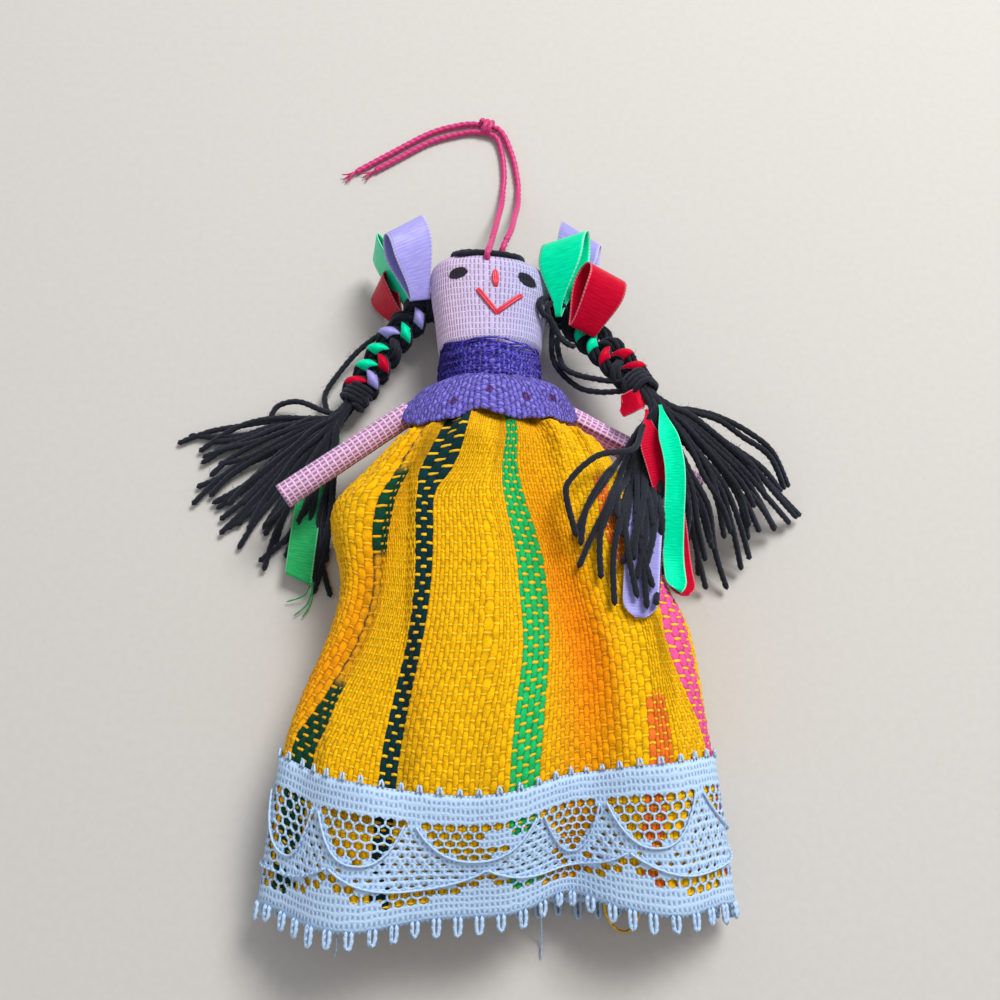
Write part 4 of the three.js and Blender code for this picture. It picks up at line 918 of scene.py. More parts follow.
# %% Lace pattern
CELL = 1.55
CELL_ROW = 1.15
CELL_WAVE = 0.17
LACE_ROWS = 16
LACE_BODY = LACE_ROWS * CELL_ROW
REPEAT = 40.0
HEADING = 3.6
WINDOWS = [(3.5, 5.9, 6.2), (18.6, 7.8, 5.2), (32, 4.7, 7.4)]  # middle, half width, depth
WINDOW_POWER = 2.4
LEAF = (21, 5.9, 2.6, 0.9)  # middle along and down, half sizes
SCROLL_WIDTH = 1.5
EYELET_LOW = 14.9
EYELET_RISE = 3.0
EYELET_POWER = 2.2
EYELET_HALF = 0.78
CRESCENT_GAP = (1.5, 2.7)
CRESCENT_SPAN = 0.86
CRESCENT_CLEAR = 1.6
OPEN_THREAD = 0.13
FINE_THREAD = 0.44


def window_depth(s, window):
    """How far below the heading a window of net reaches at one place along the lace."""
    middle, half, depth = window
    off = min(abs(s - middle), abs(s - middle - REPEAT), abs(s - middle + REPEAT)) / half
    return depth * (1 - off ** WINDOW_POWER) if off < 1 else -1


def eyelet_line(s):
    """How far below the heading the wavy row of eyelets runs."""
    return EYELET_LOW - EYELET_RISE * abs(2 * ((s / (REPEAT / 2)) % 1) - 1) ** EYELET_POWER


def lace_kind(s, t):
    """Open net, fine net or solid, at s millimetres along the lace and t down from its heading."""
    s = s % REPEAT
    depth = max(window_depth(s, window) for window in WINDOWS)
    leaf = ((s - LEAF[0]) / LEAF[2]) ** 2 + ((t - LEAF[1]) / LEAF[3]) ** 2 < 1
    if HEADING < t < HEADING + depth:
        return "solid" if leaf else "open"
    eyelets = eyelet_line(s)
    if abs(t - eyelets) < EYELET_HALF:
        return "open"
    middle, half, _ = WINDOWS[2]
    under = t - HEADING - window_depth(s, WINDOWS[2])
    beside = abs(s - middle) < half * CRESCENT_SPAN and t < eyelets - CRESCENT_CLEAR
    if beside and CRESCENT_GAP[0] < under < CRESCENT_GAP[1]:
        return "open"
    if HEADING + depth + SCROLL_WIDTH < t < eyelets - SCROLL_WIDTH:
        return "fine"
    return "solid"


# %% Lace strip
LACE_GAP = 0.42
LACE_CLOTH = 0.3
LACE_START = LACE_TOP + 1.0 / SKIRT_LENGTH
PICOT_ROOM = 0.9 / SKIRT_LENGTH
PATTERN_ZERO = -19.4
NEAR_TURN = math.radians(0.5)
NEAR_SHARE = 0.004

lace_columns = 2 * round(GIRTH / CELL / 2)
cell_width = GIRTH / lace_columns
half_columns = 2 * lace_columns


def off_skirt(angle, share, out):
    """Point a little way off the skirt's face."""
    round_way = skirt_point(angle + NEAR_TURN, share) - skirt_point(angle - NEAR_TURN, share)
    down_way = skirt_point(angle, share + NEAR_SHARE) - skirt_point(angle, share - NEAR_SHARE)
    return skirt_point(angle, share) + round_way.cross(down_way).normalized() * out


def lace_place(s, t, out=0.0):
    """Where a point of the flat lace goes on the hem."""
    angle = math.radians(nominal_angle(min(max(s / GIRTH, 0), 1)))
    share = mix(LACE_START, 1 - PICOT_ROOM, t / LACE_BODY)
    return off_skirt(angle, share, LACE_GAP + out)


zero_run = round_run[next(i for i in range(ROUND_STEPS // 2, ROUND_STEPS) if level[i].x < PATTERN_ZERO)]

bm = bmesh.new()
layer = bm.loops.layers.uv.verify()
bmesh.ops.create_grid(bm, x_segments=half_columns, y_segments=LACE_ROWS, size=0.5)
spots = {}
for vert in bm.verts:
    spots[vert] = (round((vert.co.x + 0.5) * half_columns), round((vert.co.y + 0.5) * LACE_ROWS))
extra = []
for edge in bm.edges:
    (i, j), (k, m) = spots[edge.verts[0]], spots[edge.verts[1]]
    if i == k and 0 < i < half_columns and (i + min(j, m)) % 2 == 1:
        extra.append(edge)
bmesh.ops.dissolve_edges(bm, edges=extra, use_verts=False)
for vert in bm.verts:
    i, j = spots[vert]
    wave = CELL_WAVE * CELL_ROW * (1 if (i + j) % 2 == 0 else -1)
    vert.co = (i * cell_width / 2, j * CELL_ROW + (wave if 0 < j < LACE_ROWS else 0), 0)
kinds = {"open": [], "fine": [], "solid": []}
for face in bm.faces:
    middle = face.calc_center_median()
    kinds[lace_kind(zero_run - middle.x, middle.y)].append(face)
for kind, rim in (("open", OPEN_THREAD), ("fine", FINE_THREAD)):
    bmesh.ops.inset_individual(bm, faces=kinds[kind], thickness=rim, use_even_offset=True)
    bmesh.ops.delete(bm, geom=kinds[kind], context="FACES_ONLY")
for face in bm.faces:
    for loop in face.loops:
        loop[layer].uv = loop.vert.co.xy
for vert in bm.verts:
    vert.co = lace_place(vert.co.x, vert.co.y)
weld(bm, list(bm.verts))

# Cotton lace: bleached white with a cool cast, and fine ribs and rungs where it is solid.
lace_cotton, tree = start_material("bleached_cotton_lace")
flat = add(tree, "UVMap")
waves = []
for scale, distortion, way in ((0.5, 2.0, "X"), (0.34, 2.5, "Y")):
    waves.append(add(tree, "TexWave", {
        "Vector": flat, "Scale": scale, "Distortion": distortion, "Detail": 2.0, "Detail Scale": 2.0},
        bands_direction=way))
ladder = add(tree, "Math", {0: waves[0], 1: waves[1]}, operation="MAXIMUM")
drawn = add(tree, "Mapping", {"Vector": flat, "Scale": (1.6, 4.5, 1.0)})
cross = add(tree, "TexNoise", {"Vector": drawn, "Scale": 1.0, "Detail": 3.0})
rough = add(tree, "Math", {0: cross, 1: 0.5, 2: ladder}, operation="MULTIPLY_ADD")
white = add(tree, "ValToRGB", {0: rough})
stops(white, (0.42, "#86A4CC"), (0.9, "#BCD6F2"))
lift = add(tree, "Bump", {"Height": rough, "Strength": 0.8, "Distance": 0.12 * MM})
shader = add(tree, "BsdfPrincipled", {
    "Base Color": white, "Roughness": 0.75, "Normal": lift, "Specular IOR Level": 0.2, "Sheen Weight": 0.05})
add(tree, "OutputMaterial", {"Surface": shader})

lace = piece(bm, "lace_edging", lace_cotton, "lace", ["lace_trim"], "doll", LACE_CLOTH, 1.0)

# %% Thread loops along both edges of the lace, and the cords that outline its windows
PICOT_PITCH = 2.6
PICOT_HALF = 0.0022
PICOT = [(-1, 0), (-1.15, 0.5), (-0.85, 0.9), (0, 1.05), (0.85, 0.9), (1.15, 0.5), (1, 0)]
PICOT_LONG = 2.3
PICOT_FOOT = 1 - PICOT_ROOM - 0.5 / SKIRT_LENGTH
PICOT_THREAD = 0.32
LOWEST_SHARE = 1.03
HEADING_LOOP = [(-1.1, -0.2), (-0.5, 0.7), (0, 1), (0.5, 0.7), (1.1, -0.2)]
HEADING_LONG = 1.0
HEADING_THREAD = 0.22
LOOP_OUT = LACE_GAP + 0.15
LACE_TWIST = 1.4
OUTLINE_CORD = 0.2
OUTLINE_STEPS = 12
OUTLINE_BELOW = 0.3
OUTLINE_ABOVE = 0.4
EYELET_STEPS = 40
REPEATS = range(-4, 5)

bm = bmesh.new()
count = round(GIRTH / PICOT_PITCH)
dice = random.Random(5)
for i in range(count):
    u = (i + 0.5) / count
    angle = math.radians(nominal_angle(u))
    side = math.radians(nominal_angle(min(u + PICOT_HALF, 1))) - angle
    long = PICOT_LONG * dice.uniform(0.85, 1.1) / SKIRT_LENGTH
    path = [off_skirt(angle + side * a, min(PICOT_FOOT + long * b, LOWEST_SHARE), LOOP_OUT) for a, b in PICOT]
    thread(bm, path, 0.4, PICOT_THREAD, pitch=LACE_TWIST)
    rise = HEADING_LONG * dice.uniform(0.8, 1.1) / SKIRT_LENGTH
    path = [off_skirt(angle + side * a, LACE_START - rise * b, LOOP_OUT) for a, b in HEADING_LOOP]
    thread(bm, path, 0.4, HEADING_THREAD, 5, pitch=LACE_TWIST)

outlines = []
for middle, half, depth in WINDOWS:
    offs = [k / OUTLINE_STEPS for k in range(-OUTLINE_STEPS, OUTLINE_STEPS + 1)]
    low = HEADING + depth + OUTLINE_BELOW
    outlines.append([(middle + off * half, low - depth * abs(off) ** WINDOW_POWER) for off in offs])
stations = [k * REPEAT / EYELET_STEPS for k in range(EYELET_STEPS + 1)]
outlines.append([(s, eyelet_line(s) - EYELET_HALF - OUTLINE_ABOVE) for s in stations])
for turn in REPEATS:
    for line in outlines:
        flat = [(zero_run - turn * REPEAT - s, t) for s, t in line]
        if min(s for s, _ in flat) > 0 and max(s for s, _ in flat) < GIRTH:
            thread(bm, [lace_place(s, t, LACE_CLOTH) for s, t in flat], 0.5, OUTLINE_CORD, pitch=LACE_TWIST)
picots = piece(bm, "lace_loops", lace_cotton, "lace", (), "doll")

# %% [markdown]
# ## Head
# A stuffed roll of pale pink gauze, drawn in at the neck. The gauze is a plain weave of thick bright ribs
# with mauve gaps, wound over the stuffing, so it is a sheet with its threads in the UV map. The eyes are
# ink that soaked into the gauze: they are colour in the same material, placed by Object coordinates, and
# the weave goes on through them.

# %% Form of the head
NECK_Y = 22.7
HEAD_HEIGHT = 16.2
HEAD_SIZE = (18.8, 14.0)
JAW_SIZE = (16.0, 13.0)
NECK_SIZE = (13.0, 11.2)
DOME_START = 0.78
DOME_POWER = 2.6
TILT = -0.1


def head_point(angle, share):
    """Point of the head: share 0 is the neck and 1 the crown. Below 0 the gauze runs down into the band."""
    dome = min(max(0, (share - DOME_START) / (1 - DOME_START)), 1)
    narrow = (1 - dome ** DOME_POWER) ** (1 / DOME_POWER)
    swell = ease(0, DOME_START, share)
    drawn = ease(0.1, -0.06, share)
    across, rise = power_circle(angle, OVAL_POWER)
    half = [mix(mix(jaw, head, swell) * narrow, neck, drawn) / 2
            for jaw, head, neck in zip(JAW_SIZE, HEAD_SIZE, NECK_SIZE)]
    x = across * half[0]
    y = NECK_Y + HEAD_HEIGHT * share + TILT * x * ease(0, 1, share)
    return Vector((x, y, BODY_Z + rise * half[1]))


# %% Gauze and ink
GAUZE_RIBS = 98
GAUZE_WEFTS = 18
HEAD_GRID = (144, 84)
INTO_BAND = -0.07
LUMP = 0.12
LUMP_SCALE = 0.35
EYES = [(-4.85, 34.4, 1.5, 1.0, 4), (5.75, 33.4, 1.55, 1.05, -28)]  # x, y, half sizes, turn

# Cotton gauze: thick pale ribs with open mauve gaps; painted cool light to the right leaves the left pinker.
gauze = woven(
    "cotton_gauze", ("#D8C2DE", "#E4D0EC", "#BAAABE"), ((0.54, 0.66, 0.06), (0.15, 0.56, 0.1)),
    relief=0.1, gap_to=0.34, slub=0.12, hairs=0.3, stray=0.35)
tint_across(gauze, -6, 5, "#DCF0FC")
mark(gauze, EYES, "#0A0A0E", strength=0.96, bleeding=0.35)

bm = bmesh.new()
made = panel(
    bm, *HEAD_GRID, lambda u, v: head_point(from_back(u), mix(INTO_BAND, 1, v)), (GAUZE_RIBS, GAUZE_WEFTS))
for vert in made:
    outward = (vert.co - Vector((0, vert.co.y, BODY_Z))).normalized()
    vert.co += LUMP * noise.noise(vert.co * LUMP_SCALE) * outward
weld(bm, made)
head_tree = BVHTree.FromBMesh(bm)
head = piece(bm, "head_gauze", gauze, "gauze", ["head_cover", "head_stuffing"], "doll")

# %% [markdown]
# ## Face stitches
# A nose and a smiling mouth, each a few long straight stitches of red floss pulled through the gauze. Each
# line is two or three strands side by side that dip into the cloth at both ends.

# %% Red floss
NOSE = [(0.85, 34.7), (0.98, 31.7)]
MOUTH_LEFT = [(-2.0, 31.6), (1.35, 27.2)]
MOUTH_RIGHT = [(5.1, 30.8), (0.85, 27.3)]
STITCH_STEPS = 8
STITCH_LIFT = 0.2
STITCH_DIP = -0.35
FLOSS = 0.24
ABOVE_ALL = 60

# Stranded cotton floss: bright red with a silky line of light along each stitch.
floss = dyed_thread(
    "stranded_floss", stretch=(9.0, 0.4), grain=(2.0, 2.0), dark=(0, "#C01030"), light=(1, "#F23A50"),
    relief=None, shine={"Roughness": 0.42, "Sheen Weight": 0.2})


def top_of(tree, x, y, missing=0.0):
    """Height of a piece over a place."""
    found = tree.ray_cast(Vector((x, y, ABOVE_ALL)), -UP)[0]
    return missing if found is None else found.z


def stitches(name, ends, count, spread, node, belly):
    """A line of straight stitches. The belly is how far they close up towards their ends."""
    (x0, y0), (x1, y1) = ends
    along = Vector((x1 - x0, y1 - y0, 0)).normalized()
    across = Vector((-along.y, along.x, 0))
    bm = bmesh.new()
    for i in range(count):
        side = (i - (count - 1) / 2) * spread
        path = []
        for k in range(STITCH_STEPS + 1):
            t = k / STITCH_STEPS
            off = abs(2 * t - 1)
            at = Vector((mix(x0, x1, t), mix(y0, y1, t), 0)) + across * side * (1 - belly * off ** 2)
            at.z = top_of(head_tree, at.x, at.y, BODY_Z) + mix(STITCH_LIFT, STITCH_DIP, off ** 6)
            path.append(at)
        thread(bm, path, 0.25, FLOSS, 8, plies=3, pitch=3.0, groove=0.15)
    piece(bm, name, floss, "stitch_thread", [node], "doll")


stitches("nose_floss", NOSE, count=3, spread=0.34, node="nose_stitch", belly=1.0)
stitches("mouth_floss_left", MOUTH_LEFT, count=2, spread=0.36, node="mouth_stitch_left", belly=0.1)
stitches("mouth_floss_right", MOUTH_RIGHT, count=2, spread=0.36, node="mouth_stitch_right", belly=0.1)

# %% [markdown]
# ## Neck band and blouse
# A strip of dark violet gauze is wound round the neck and crinkles as it is pulled tight. Under it the
# blouse is a short cape of bumpy violet cloth with a few purple dots. Both are sheets round the body: the
# band's crinkles are in the mesh, and the blouse's grains are a coarse weave.

# %% Neck band
BAND_SIZE = (15.6, 13.8)
BAND_BOTTOM = 16.9
BAND_TILT = TILT * 0.4
BAND_GRID = (220, 56)
BAND_COUNT = (70, 11)
BAND_CLOTH = 0.4
CRINKLE = 0.32
SEWING_TWIST = 1.2
BAND_EDGES = [(0.45, 5, 0.4), (0.1, 7, 2.0), (-0.2, 6, 4.1)]  # lift, waves and where they start
EDGE_STEPS = 120
EDGE_IN = 0.2
EDGE_THREAD = 0.17

# Crinkled gauze: dark violet, uneven and hairy, with painted shade that dulls it towards the left.
band_gauze = woven(
    "crinkled_gauze", ("#9C90FF", "#6C5EF2", "#7C789C"), ((0.4, 0.5, 0.3), (0.5, 0.5, 0.4)),
    relief=0.36, gap_to=0.55, slub=0.6, hairs=1.5, stray=1.6)
tint_across(band_gauze, 3, -7, "#948AB4")


def band_place(u, v):
    """Point of the neck band, with long wrinkles, small creases and an upper edge that is drawn in."""
    angle = from_back(u)
    across, rise = power_circle(angle, OVAL_POWER)
    y = mix(BAND_BOTTOM, NECK_Y - 0.1, v)
    wrinkle = noise.noise(Vector((across * 2.2, y * 2.6, rise * 2.2)))
    wrinkle += 0.5 * math.sin(y * 4.6 + 1.5 * math.sin(angle * 2))
    creases = noise.noise(Vector((across * 5, y * 6, rise * 5)))
    out = CRINKLE * (wrinkle + 0.7 * creases) - 0.5 * ease(0.85, 1, v)
    y += 0.35 * math.sin(angle * 5) * v + BAND_TILT * across * BAND_SIZE[0] / 2 * v
    return Vector((across * (BAND_SIZE[0] / 2 + out), y, BODY_Z + rise * (BAND_SIZE[1] / 2 + out)))


bm = bmesh.new()
weld(bm, panel(bm, *BAND_GRID, band_place, BAND_COUNT))
piece(bm, "neck_wrap", band_gauze, "band_cloth", ["neck_band"], "doll", BAND_CLOTH)

bm = bmesh.new()
half_x, half_z = [size / 2 - EDGE_IN for size in BAND_SIZE]
for lift, waves, start in BAND_EDGES:
    path = []
    for i in range(EDGE_STEPS + 1):
        angle = i / EDGE_STEPS * math.tau
        across, rise = power_circle(angle, OVAL_POWER)
        y = NECK_Y + lift + 0.3 * math.sin(waves * angle + start) + BAND_TILT * across * BAND_SIZE[0] / 2
        path.append(Vector((across * half_x, y, BODY_Z + rise * half_z)))
    strand(bm, path, EDGE_THREAD, 6, pitch=SEWING_TWIST)
piece(bm, "band_threads", band_gauze, "band_cloth", (), "doll")

# %% Blouse
BLOUSE_RINGS = [  # share of the height, width, depth at the back, depth at the front
    (0, 27.2, 15.2, 18.4), (0.42, 25, 15, 17.4), (0.84, 20.6, 14.6, 15.2), (1, 15.8, 13.9, 13.9),
]
BLOUSE_GRID = (180, 36)
BLOUSE_COUNT = (108, 12)
BLOUSE_CLOTH = 0.5
BLOUSE_TOP = 17.4
HEM_SIDE = 12.9
SHOULDER_PUFF = 1.1
RUFFLE = 0.5
LUMPS = 0.22
FRAY_RINGS = (0.02, 0.06, 0.3, 0.6, 0.9)
BLOUSE_FIBRES = 900
DOTS = [  # x, y, half sizes, turn
    (-5.15, 12.3, 0.5, 0.7, -12), (0.1, 14.2, 0.6, 0.75, 0), (5.45, 13.2, 0.55, 0.85, 18),
    (9.35, 13.5, 0.5, 0.8, 40),
]

# Crepe cotton: short swollen grains of violet, with a purple dot woven in here and there.
blouse_cotton = woven(
    "crepe_cotton", ("#A094FF", "#8474FA", "#8880AC"), ((0.6, 0.6, 0.36), (0.4, 0.4, 0.42)),
    relief=0.4, gap_to=0.55, slub=0.55, hairs=1.4, stray=0.9)
mark(blouse_cotton, DOTS, "#5A0E48", strength=0.75, bleeding=1.3)


def blouse_place(u, v):
    """Point of the blouse, ruffled towards its hem and full over one shoulder."""
    angle = from_back(u)
    across, rise = power_circle(angle, OVAL_POWER)
    width, back, front = [column_at(BLOUSE_RINGS, v, column) for column in (1, 2, 3)]
    ruffle = RUFFLE * (1 - v) * noise.noise(Vector((across * 3, rise * 3, v * 2)))
    ruffle += SHOULDER_PUFF * bump(across - 0.8, 0.2) * bump(rise - 0.6, 0.4) * bump(v - 0.7, 0.3)
    ruffle += LUMPS * noise.noise(Vector((across * 9, v * 6, rise * 9)))
    hem = mix(HEM_SIDE, hem_line(across * width / 2), ease(0, 0.8, rise)) + 0.12 * math.sin(angle * 23)
    top = BLOUSE_TOP + 0.6 * noise.noise(Vector((across * 4, 0, rise)))
    depth = (front if rise > 0 else back) / 2 + ruffle
    return Vector((across * (width / 2 + ruffle), mix(hem, top, v), BODY_Z + rise * depth))


bm = bmesh.new()
weld(bm, panel(bm, *BLOUSE_GRID, blouse_place, BLOUSE_COUNT))
piece(bm, "blouse_cloth", blouse_cotton, "knit", ["blouse"], "doll", BLOUSE_CLOTH)

bm = bmesh.new()
steps = BLOUSE_GRID[0]
rings = [[blouse_place(i / steps, v) for i in range(steps + 1)] for v in FRAY_RINGS]
fibres(bm, rings, BLOUSE_FIBRES, radius=0.1, longest=1.1, dice=random.Random(31))
piece(bm, "blouse_fray", blouse_cotton, "knit", (), "doll")

# %% [markdown]
# ## Arms and core
# Each arm is a strip of gauze rolled up and sewn in under the blouse, so it is made as a roll: one sheet
# wound in a spiral, with its free edge along the arm and its turns in sight at the cut end. The core of the
# body is a thicker roll of calico that the head, the blouse and the skirt are bound to, with a gathering
# thread round it.

# %% Rolls
ROLL_UNEVEN = 0.04
ROLL_FLARE = 0.08


def roll(bm, start, end, half, turns, hollow, threads, grid):
    """A sheet wound round a straight line: its half sizes, its turns, and the share of it that is hollow."""
    _, side, up = frames([start, end])[0]

    def place(u, v):
        angle = u * turns * math.tau
        reach = mix(hollow, 1, u) * (1 + ROLL_UNEVEN * noise.noise(Vector((angle, v * 6, 0))))
        edge = side * math.cos(angle) * half[0] + up * math.sin(angle) * half[1]
        return start.lerp(end, v) + edge * reach * (1 + ROLL_FLARE * v * v)

    weld(bm, panel(bm, *grid, place, threads))


# %% Arms
ARM_HALF = (2.0, 2.0)
ARM_LENGTH = 20.7
ARM_TURNS = 2.3
ARM_HOLLOW = 0.42
ARM_CLOTH = 0.25
TUCKED = 2.2
ARMS = [  # body, shoulder, heading, droop
    ("left_arm", (-13.9, 12.2, 9.8), 216, 0), ("right_arm", (13.9, 12.2, 7.5), -25, 13),
]

# The same gauze rolled up is pinker, with darker gaps.
arm_gauze = woven(
    "rolled_gauze", ("#E0B2D6", "#F6D0F0", "#A898A8"), ((0.44, 0.6, 0.08), (0.2, 0.7, 0.1)),
    relief=0.12, gap_to=0.36, slub=0.12, hairs=0.3, stray=0.3)
for name, shoulder, heading, droop in ARMS:
    turn, fall = math.radians(heading), math.radians(droop)
    along = Vector((math.cos(turn), math.sin(turn), 0)) * math.cos(fall) - UP * math.sin(fall)
    root, tip = Vector(shoulder) - along * TUCKED, Vector(shoulder) + along * ARM_LENGTH
    bm = bmesh.new()
    roll(bm, root, tip, ARM_HALF, ARM_TURNS, ARM_HOLLOW, threads=(46, 24), grid=(92, 60))
    arm = piece(bm, name + "_roll", arm_gauze, "gauze", [name], name, ARM_CLOTH, 0.0)

# %% Core and gathering thread
CORE_TOP = Vector((0, 21.2, BODY_Z))
CORE_END = Vector((0, -6.4, BODY_Z))
CORE_HALF = (6.4, 4.1)
CORE_TURNS = 3.2
CORE_HOLLOW = 0.2
CORE_CLOTH = 0.3
GATHERING_HALF = (8.2, 5.9)
GATHERING_Y = 13
GATHERING_RISE = 0.85
GATHERING_TURNS = 2
GATHERING_STEPS = 60
GATHERING_THREAD = 0.2

# Unbleached calico: a plain close weave, off-white, that the outer cloths hide.
calico = woven(
    "unbleached_calico", ("#E6DCC8", "#DDD2BA", "#D2CCBC"), ((0.5, 0.5, 0.4), (0.5, 0.5, 0.4)),
    relief=0.1, gap_to=0.3, slub=0.15, hairs=0.3, stray=0.2)
bm = bmesh.new()
roll(bm, CORE_TOP, CORE_END, CORE_HALF, CORE_TURNS, CORE_HOLLOW, threads=(150, 46), grid=(140, 30))
piece(bm, "core_roll", calico, "stuffing", ["torso_core"], "doll", CORE_CLOTH, 0.0)

bm = bmesh.new()
binding = []
for i in range(GATHERING_STEPS + 1):
    t = i / GATHERING_STEPS * GATHERING_TURNS
    across, rise = math.cos(t * math.tau) * GATHERING_HALF[0], math.sin(t * math.tau) * GATHERING_HALF[1]
    binding.append(Vector((across, GATHERING_Y + GATHERING_RISE * t, BODY_Z + rise)))
strand(bm, binding, GATHERING_THREAD, 6, pitch=SEWING_TWIST)
piece(bm, "gathering_thread", calico, "stitch_thread", ["waist_thread"], "doll")

# %% [markdown]
# ## Ribbons
# Lengths of 7 mm satin ribbon are doubled into loops where each braid starts, and more of them come out of
# the ties as tails. Satin has long floats that catch the light in a soft band, fine ribs across, and a pale
# selvage along each edge. A loop is one strip bent round and pinched together at its base.

# %% Satin
RIBBON_WIDTH = 7.0
RIB_PITCH = 0.42


def satin(name, deep, bright, edge):
    """Satin ribbon. The UV map runs from selvage to selvage and in millimetres along the ribbon."""
    material, tree = start_material(name)
    flat = add(tree, "UVMap")
    spot = add(tree, "SeparateXYZ", {0: flat})
    centred = add(tree, "Math", {0: spot.outputs[0], 1: 0.5}, operation="SUBTRACT")
    off = add(tree, "Math", {0: centred}, operation="ABSOLUTE")
    along = add(tree, "Math", {0: spot.outputs[1], 1: math.tau / RIB_PITCH}, operation="MULTIPLY")
    wave = add(tree, "Math", {0: along}, operation="SINE")
    dash = add(tree, "Math", {0: wave, 1: 0.35, 2: 0.65}, operation="MULTIPLY_ADD")
    rim = add(tree, "MapRange", {0: off, 1: 0.455, 2: 0.475, 3: 0.0, 4: 0.75})
    selvage = add(tree, "Math", {0: rim, 1: dash}, operation="MULTIPLY")
    drawn = add(tree, "Mapping", {"Vector": flat, "Scale": (2.0, 3.2, 1.0)})
    dye = add(tree, "ValToRGB", {0: add(tree, "TexNoise", {"Vector": drawn, "Scale": 1.4, "Detail": 4.0})})
    stops(dye, (0.3, deep), (0.72, bright))
    colour = add(tree, "Mix", {0: selvage, 6: dye, 7: linear(edge)}, data_type="RGBA")
    ribs = add(tree, "Math", {0: selvage, 1: 0.6, 2: dash}, operation="MULTIPLY_ADD")
    lift = add(tree, "Bump", {"Height": ribs, "Strength": 0.35, "Distance": 0.05 * MM})
    shader = add(tree, "BsdfPrincipled", {
        "Base Color": colour.outputs[2], "Roughness": 0.36, "Normal": lift, "Anisotropic": 0.5,
        "Specular Tint": linear(bright), "Sheen Weight": 0.03, "Sheen Roughness": 0.35})
    add(tree, "OutputMaterial", {"Surface": shader})
    return material


# Polyester satin in three dyes: the floats give a soft bright band, the selvage a thin pale dashed line.
SATINS = {
    "lilac": satin("lilac_satin", "#968CD2", "#A8A6E4", "#DCDCF6"),
    "green": satin("green_satin", "#00CE92", "#04F0B4", "#B8F8E0"),
    "red": satin("red_satin", "#B40822", "#D20E36", "#F0909C"),
}
# The left tail is the green satin darkened: painted shade, for the shadow it lies in.
shade_painted_green = satin("shade_painted_green_satin", "#1E8A4C", "#34A862", "#8CD0A0")


# %% Ribbon loops
SATIN_CLOTH = 0.16
LOOP_GRID = (12, 56)
LOOP_LONG = 2.2
# name, colour, base, tip, belly, turn about its own line, share of the width kept at the base, skew
LOOPS = [
    ("left_lilac_loop", "lilac", (-10.9, 32.4, 9.9), (-13.6, 43.8, 13.2), 4.6, -24, 0.5, 2.6),
    ("left_green_loop", "green", (-13.1, 33.7, 7), (-18.6, 43.6, 7.2), 1.4, 78, 0.6, 0),
    ("left_red_loop", "red", (-15, 32.4, 3.8), (-18.2, 38.4, 4), 2.4, 66, 0.6, 0),
    ("right_lilac_loop", "lilac", (12.8, 34.2, 7.6), (14.8, 45.4, 7.9), 3, 10, 0.4, -4.0),
    ("right_green_loop", "green", (10.6, 28.4, 12), (12, 41.2, 13.4), 5.4, 20, 0.14, 2.0),
    ("right_red_loop", "red", (14.2, 26.2, 11.4), (17.9, 34.9, 14.2), 5.6, -34, 0.7, 0),
]


def ribbon(bm, name, dyed, colour, nodes=(), body=None):
    """Finishes a strip of satin."""
    bmesh.ops.recalc_face_normals(bm, faces=bm.faces)
    return piece(bm, name + "_ribbon", dyed, colour + "_satin", nodes, body, SATIN_CLOTH, 0.0)


for name, colour, base, tip, belly, turn, pinch, skew in LOOPS:
    base, tip = Vector(base), Vector(tip)
    long = (tip - base).length
    forward = (tip - base).normalized()
    level_way = UP.cross(forward).normalized()
    lean = math.radians(turn)
    face_way = forward.cross(level_way) * math.cos(lean) + level_way * math.sin(lean)
    width_way = forward.cross(face_way)

    def loop_place(u, v):
        swing = mix(math.pi, -math.pi, v)
        far = (1 + math.cos(swing)) / 2
        width = RIBBON_WIDTH * mix(pinch, 1, ease(0, 0.75, far))
        rise = math.sin(swing) * belly / 2 * (0.3 + 0.7 * far)
        reach = far * (long + skew * (u - 0.5))
        return base + forward * reach + face_way * rise + width_way * (u - 0.5) * width

    bm = bmesh.new()
    panel(bm, *LOOP_GRID, loop_place, (1, LOOP_LONG * long))
    ribbon(bm, name, SATINS[colour], colour, [name], "doll")

# %% [markdown]
# ## Yarn
# Hair, braids, ties and tassels are one soft black acrylic yarn. The hair lies from ear to ear over the
# crown and down the back of the head. Each braid is a true three-strand plait of yarn bundles, with patches
# of the ribbons that are plaited in, and it ends in a tie and a loose fan of cut ends.

# %% Black yarn
YARN = 0.5
YARN_LAY = {"sides": 7, "pitch": 2.4}
SIDES = ("left", "right")

# Acrylic yarn: black, but its fuzz catches a little blue-grey light along each ply.
yarn = dyed_thread(
    "acrylic_yarn", stretch=(5.0, 1.2), grain=(3.0, 4.0), dark=(0.35, "#08080A"), light=(0.8, "#22242A"),
    relief=(0.6, 0.15), shine={
        "Roughness": 0.85, "Specular IOR Level": 0.25, "Sheen Weight": 0.35, "Sheen Roughness": 0.6,
        "Sheen Tint": linear("#8C98B4")})

# %% Hair
EARS = (Vector((-10.1, 33.19, 6.6)), Vector((10.1, 33.19, 7.2)))
PART = Vector((0, 33, 7.4))
HAIR_ROWS = 30
HAIR_STEPS = 24
HAIR_SWEEP = 84
FRONT_ROW = 57
NAPE_ROW = -124
HAIR_OUT = 0.42
HAIR_LOWEST = 0.55
HAIR_FIBRES = 900
SIDE_LEAN = -45
SIDE_FROM = 0.45
SIDE_FULL = 1.15

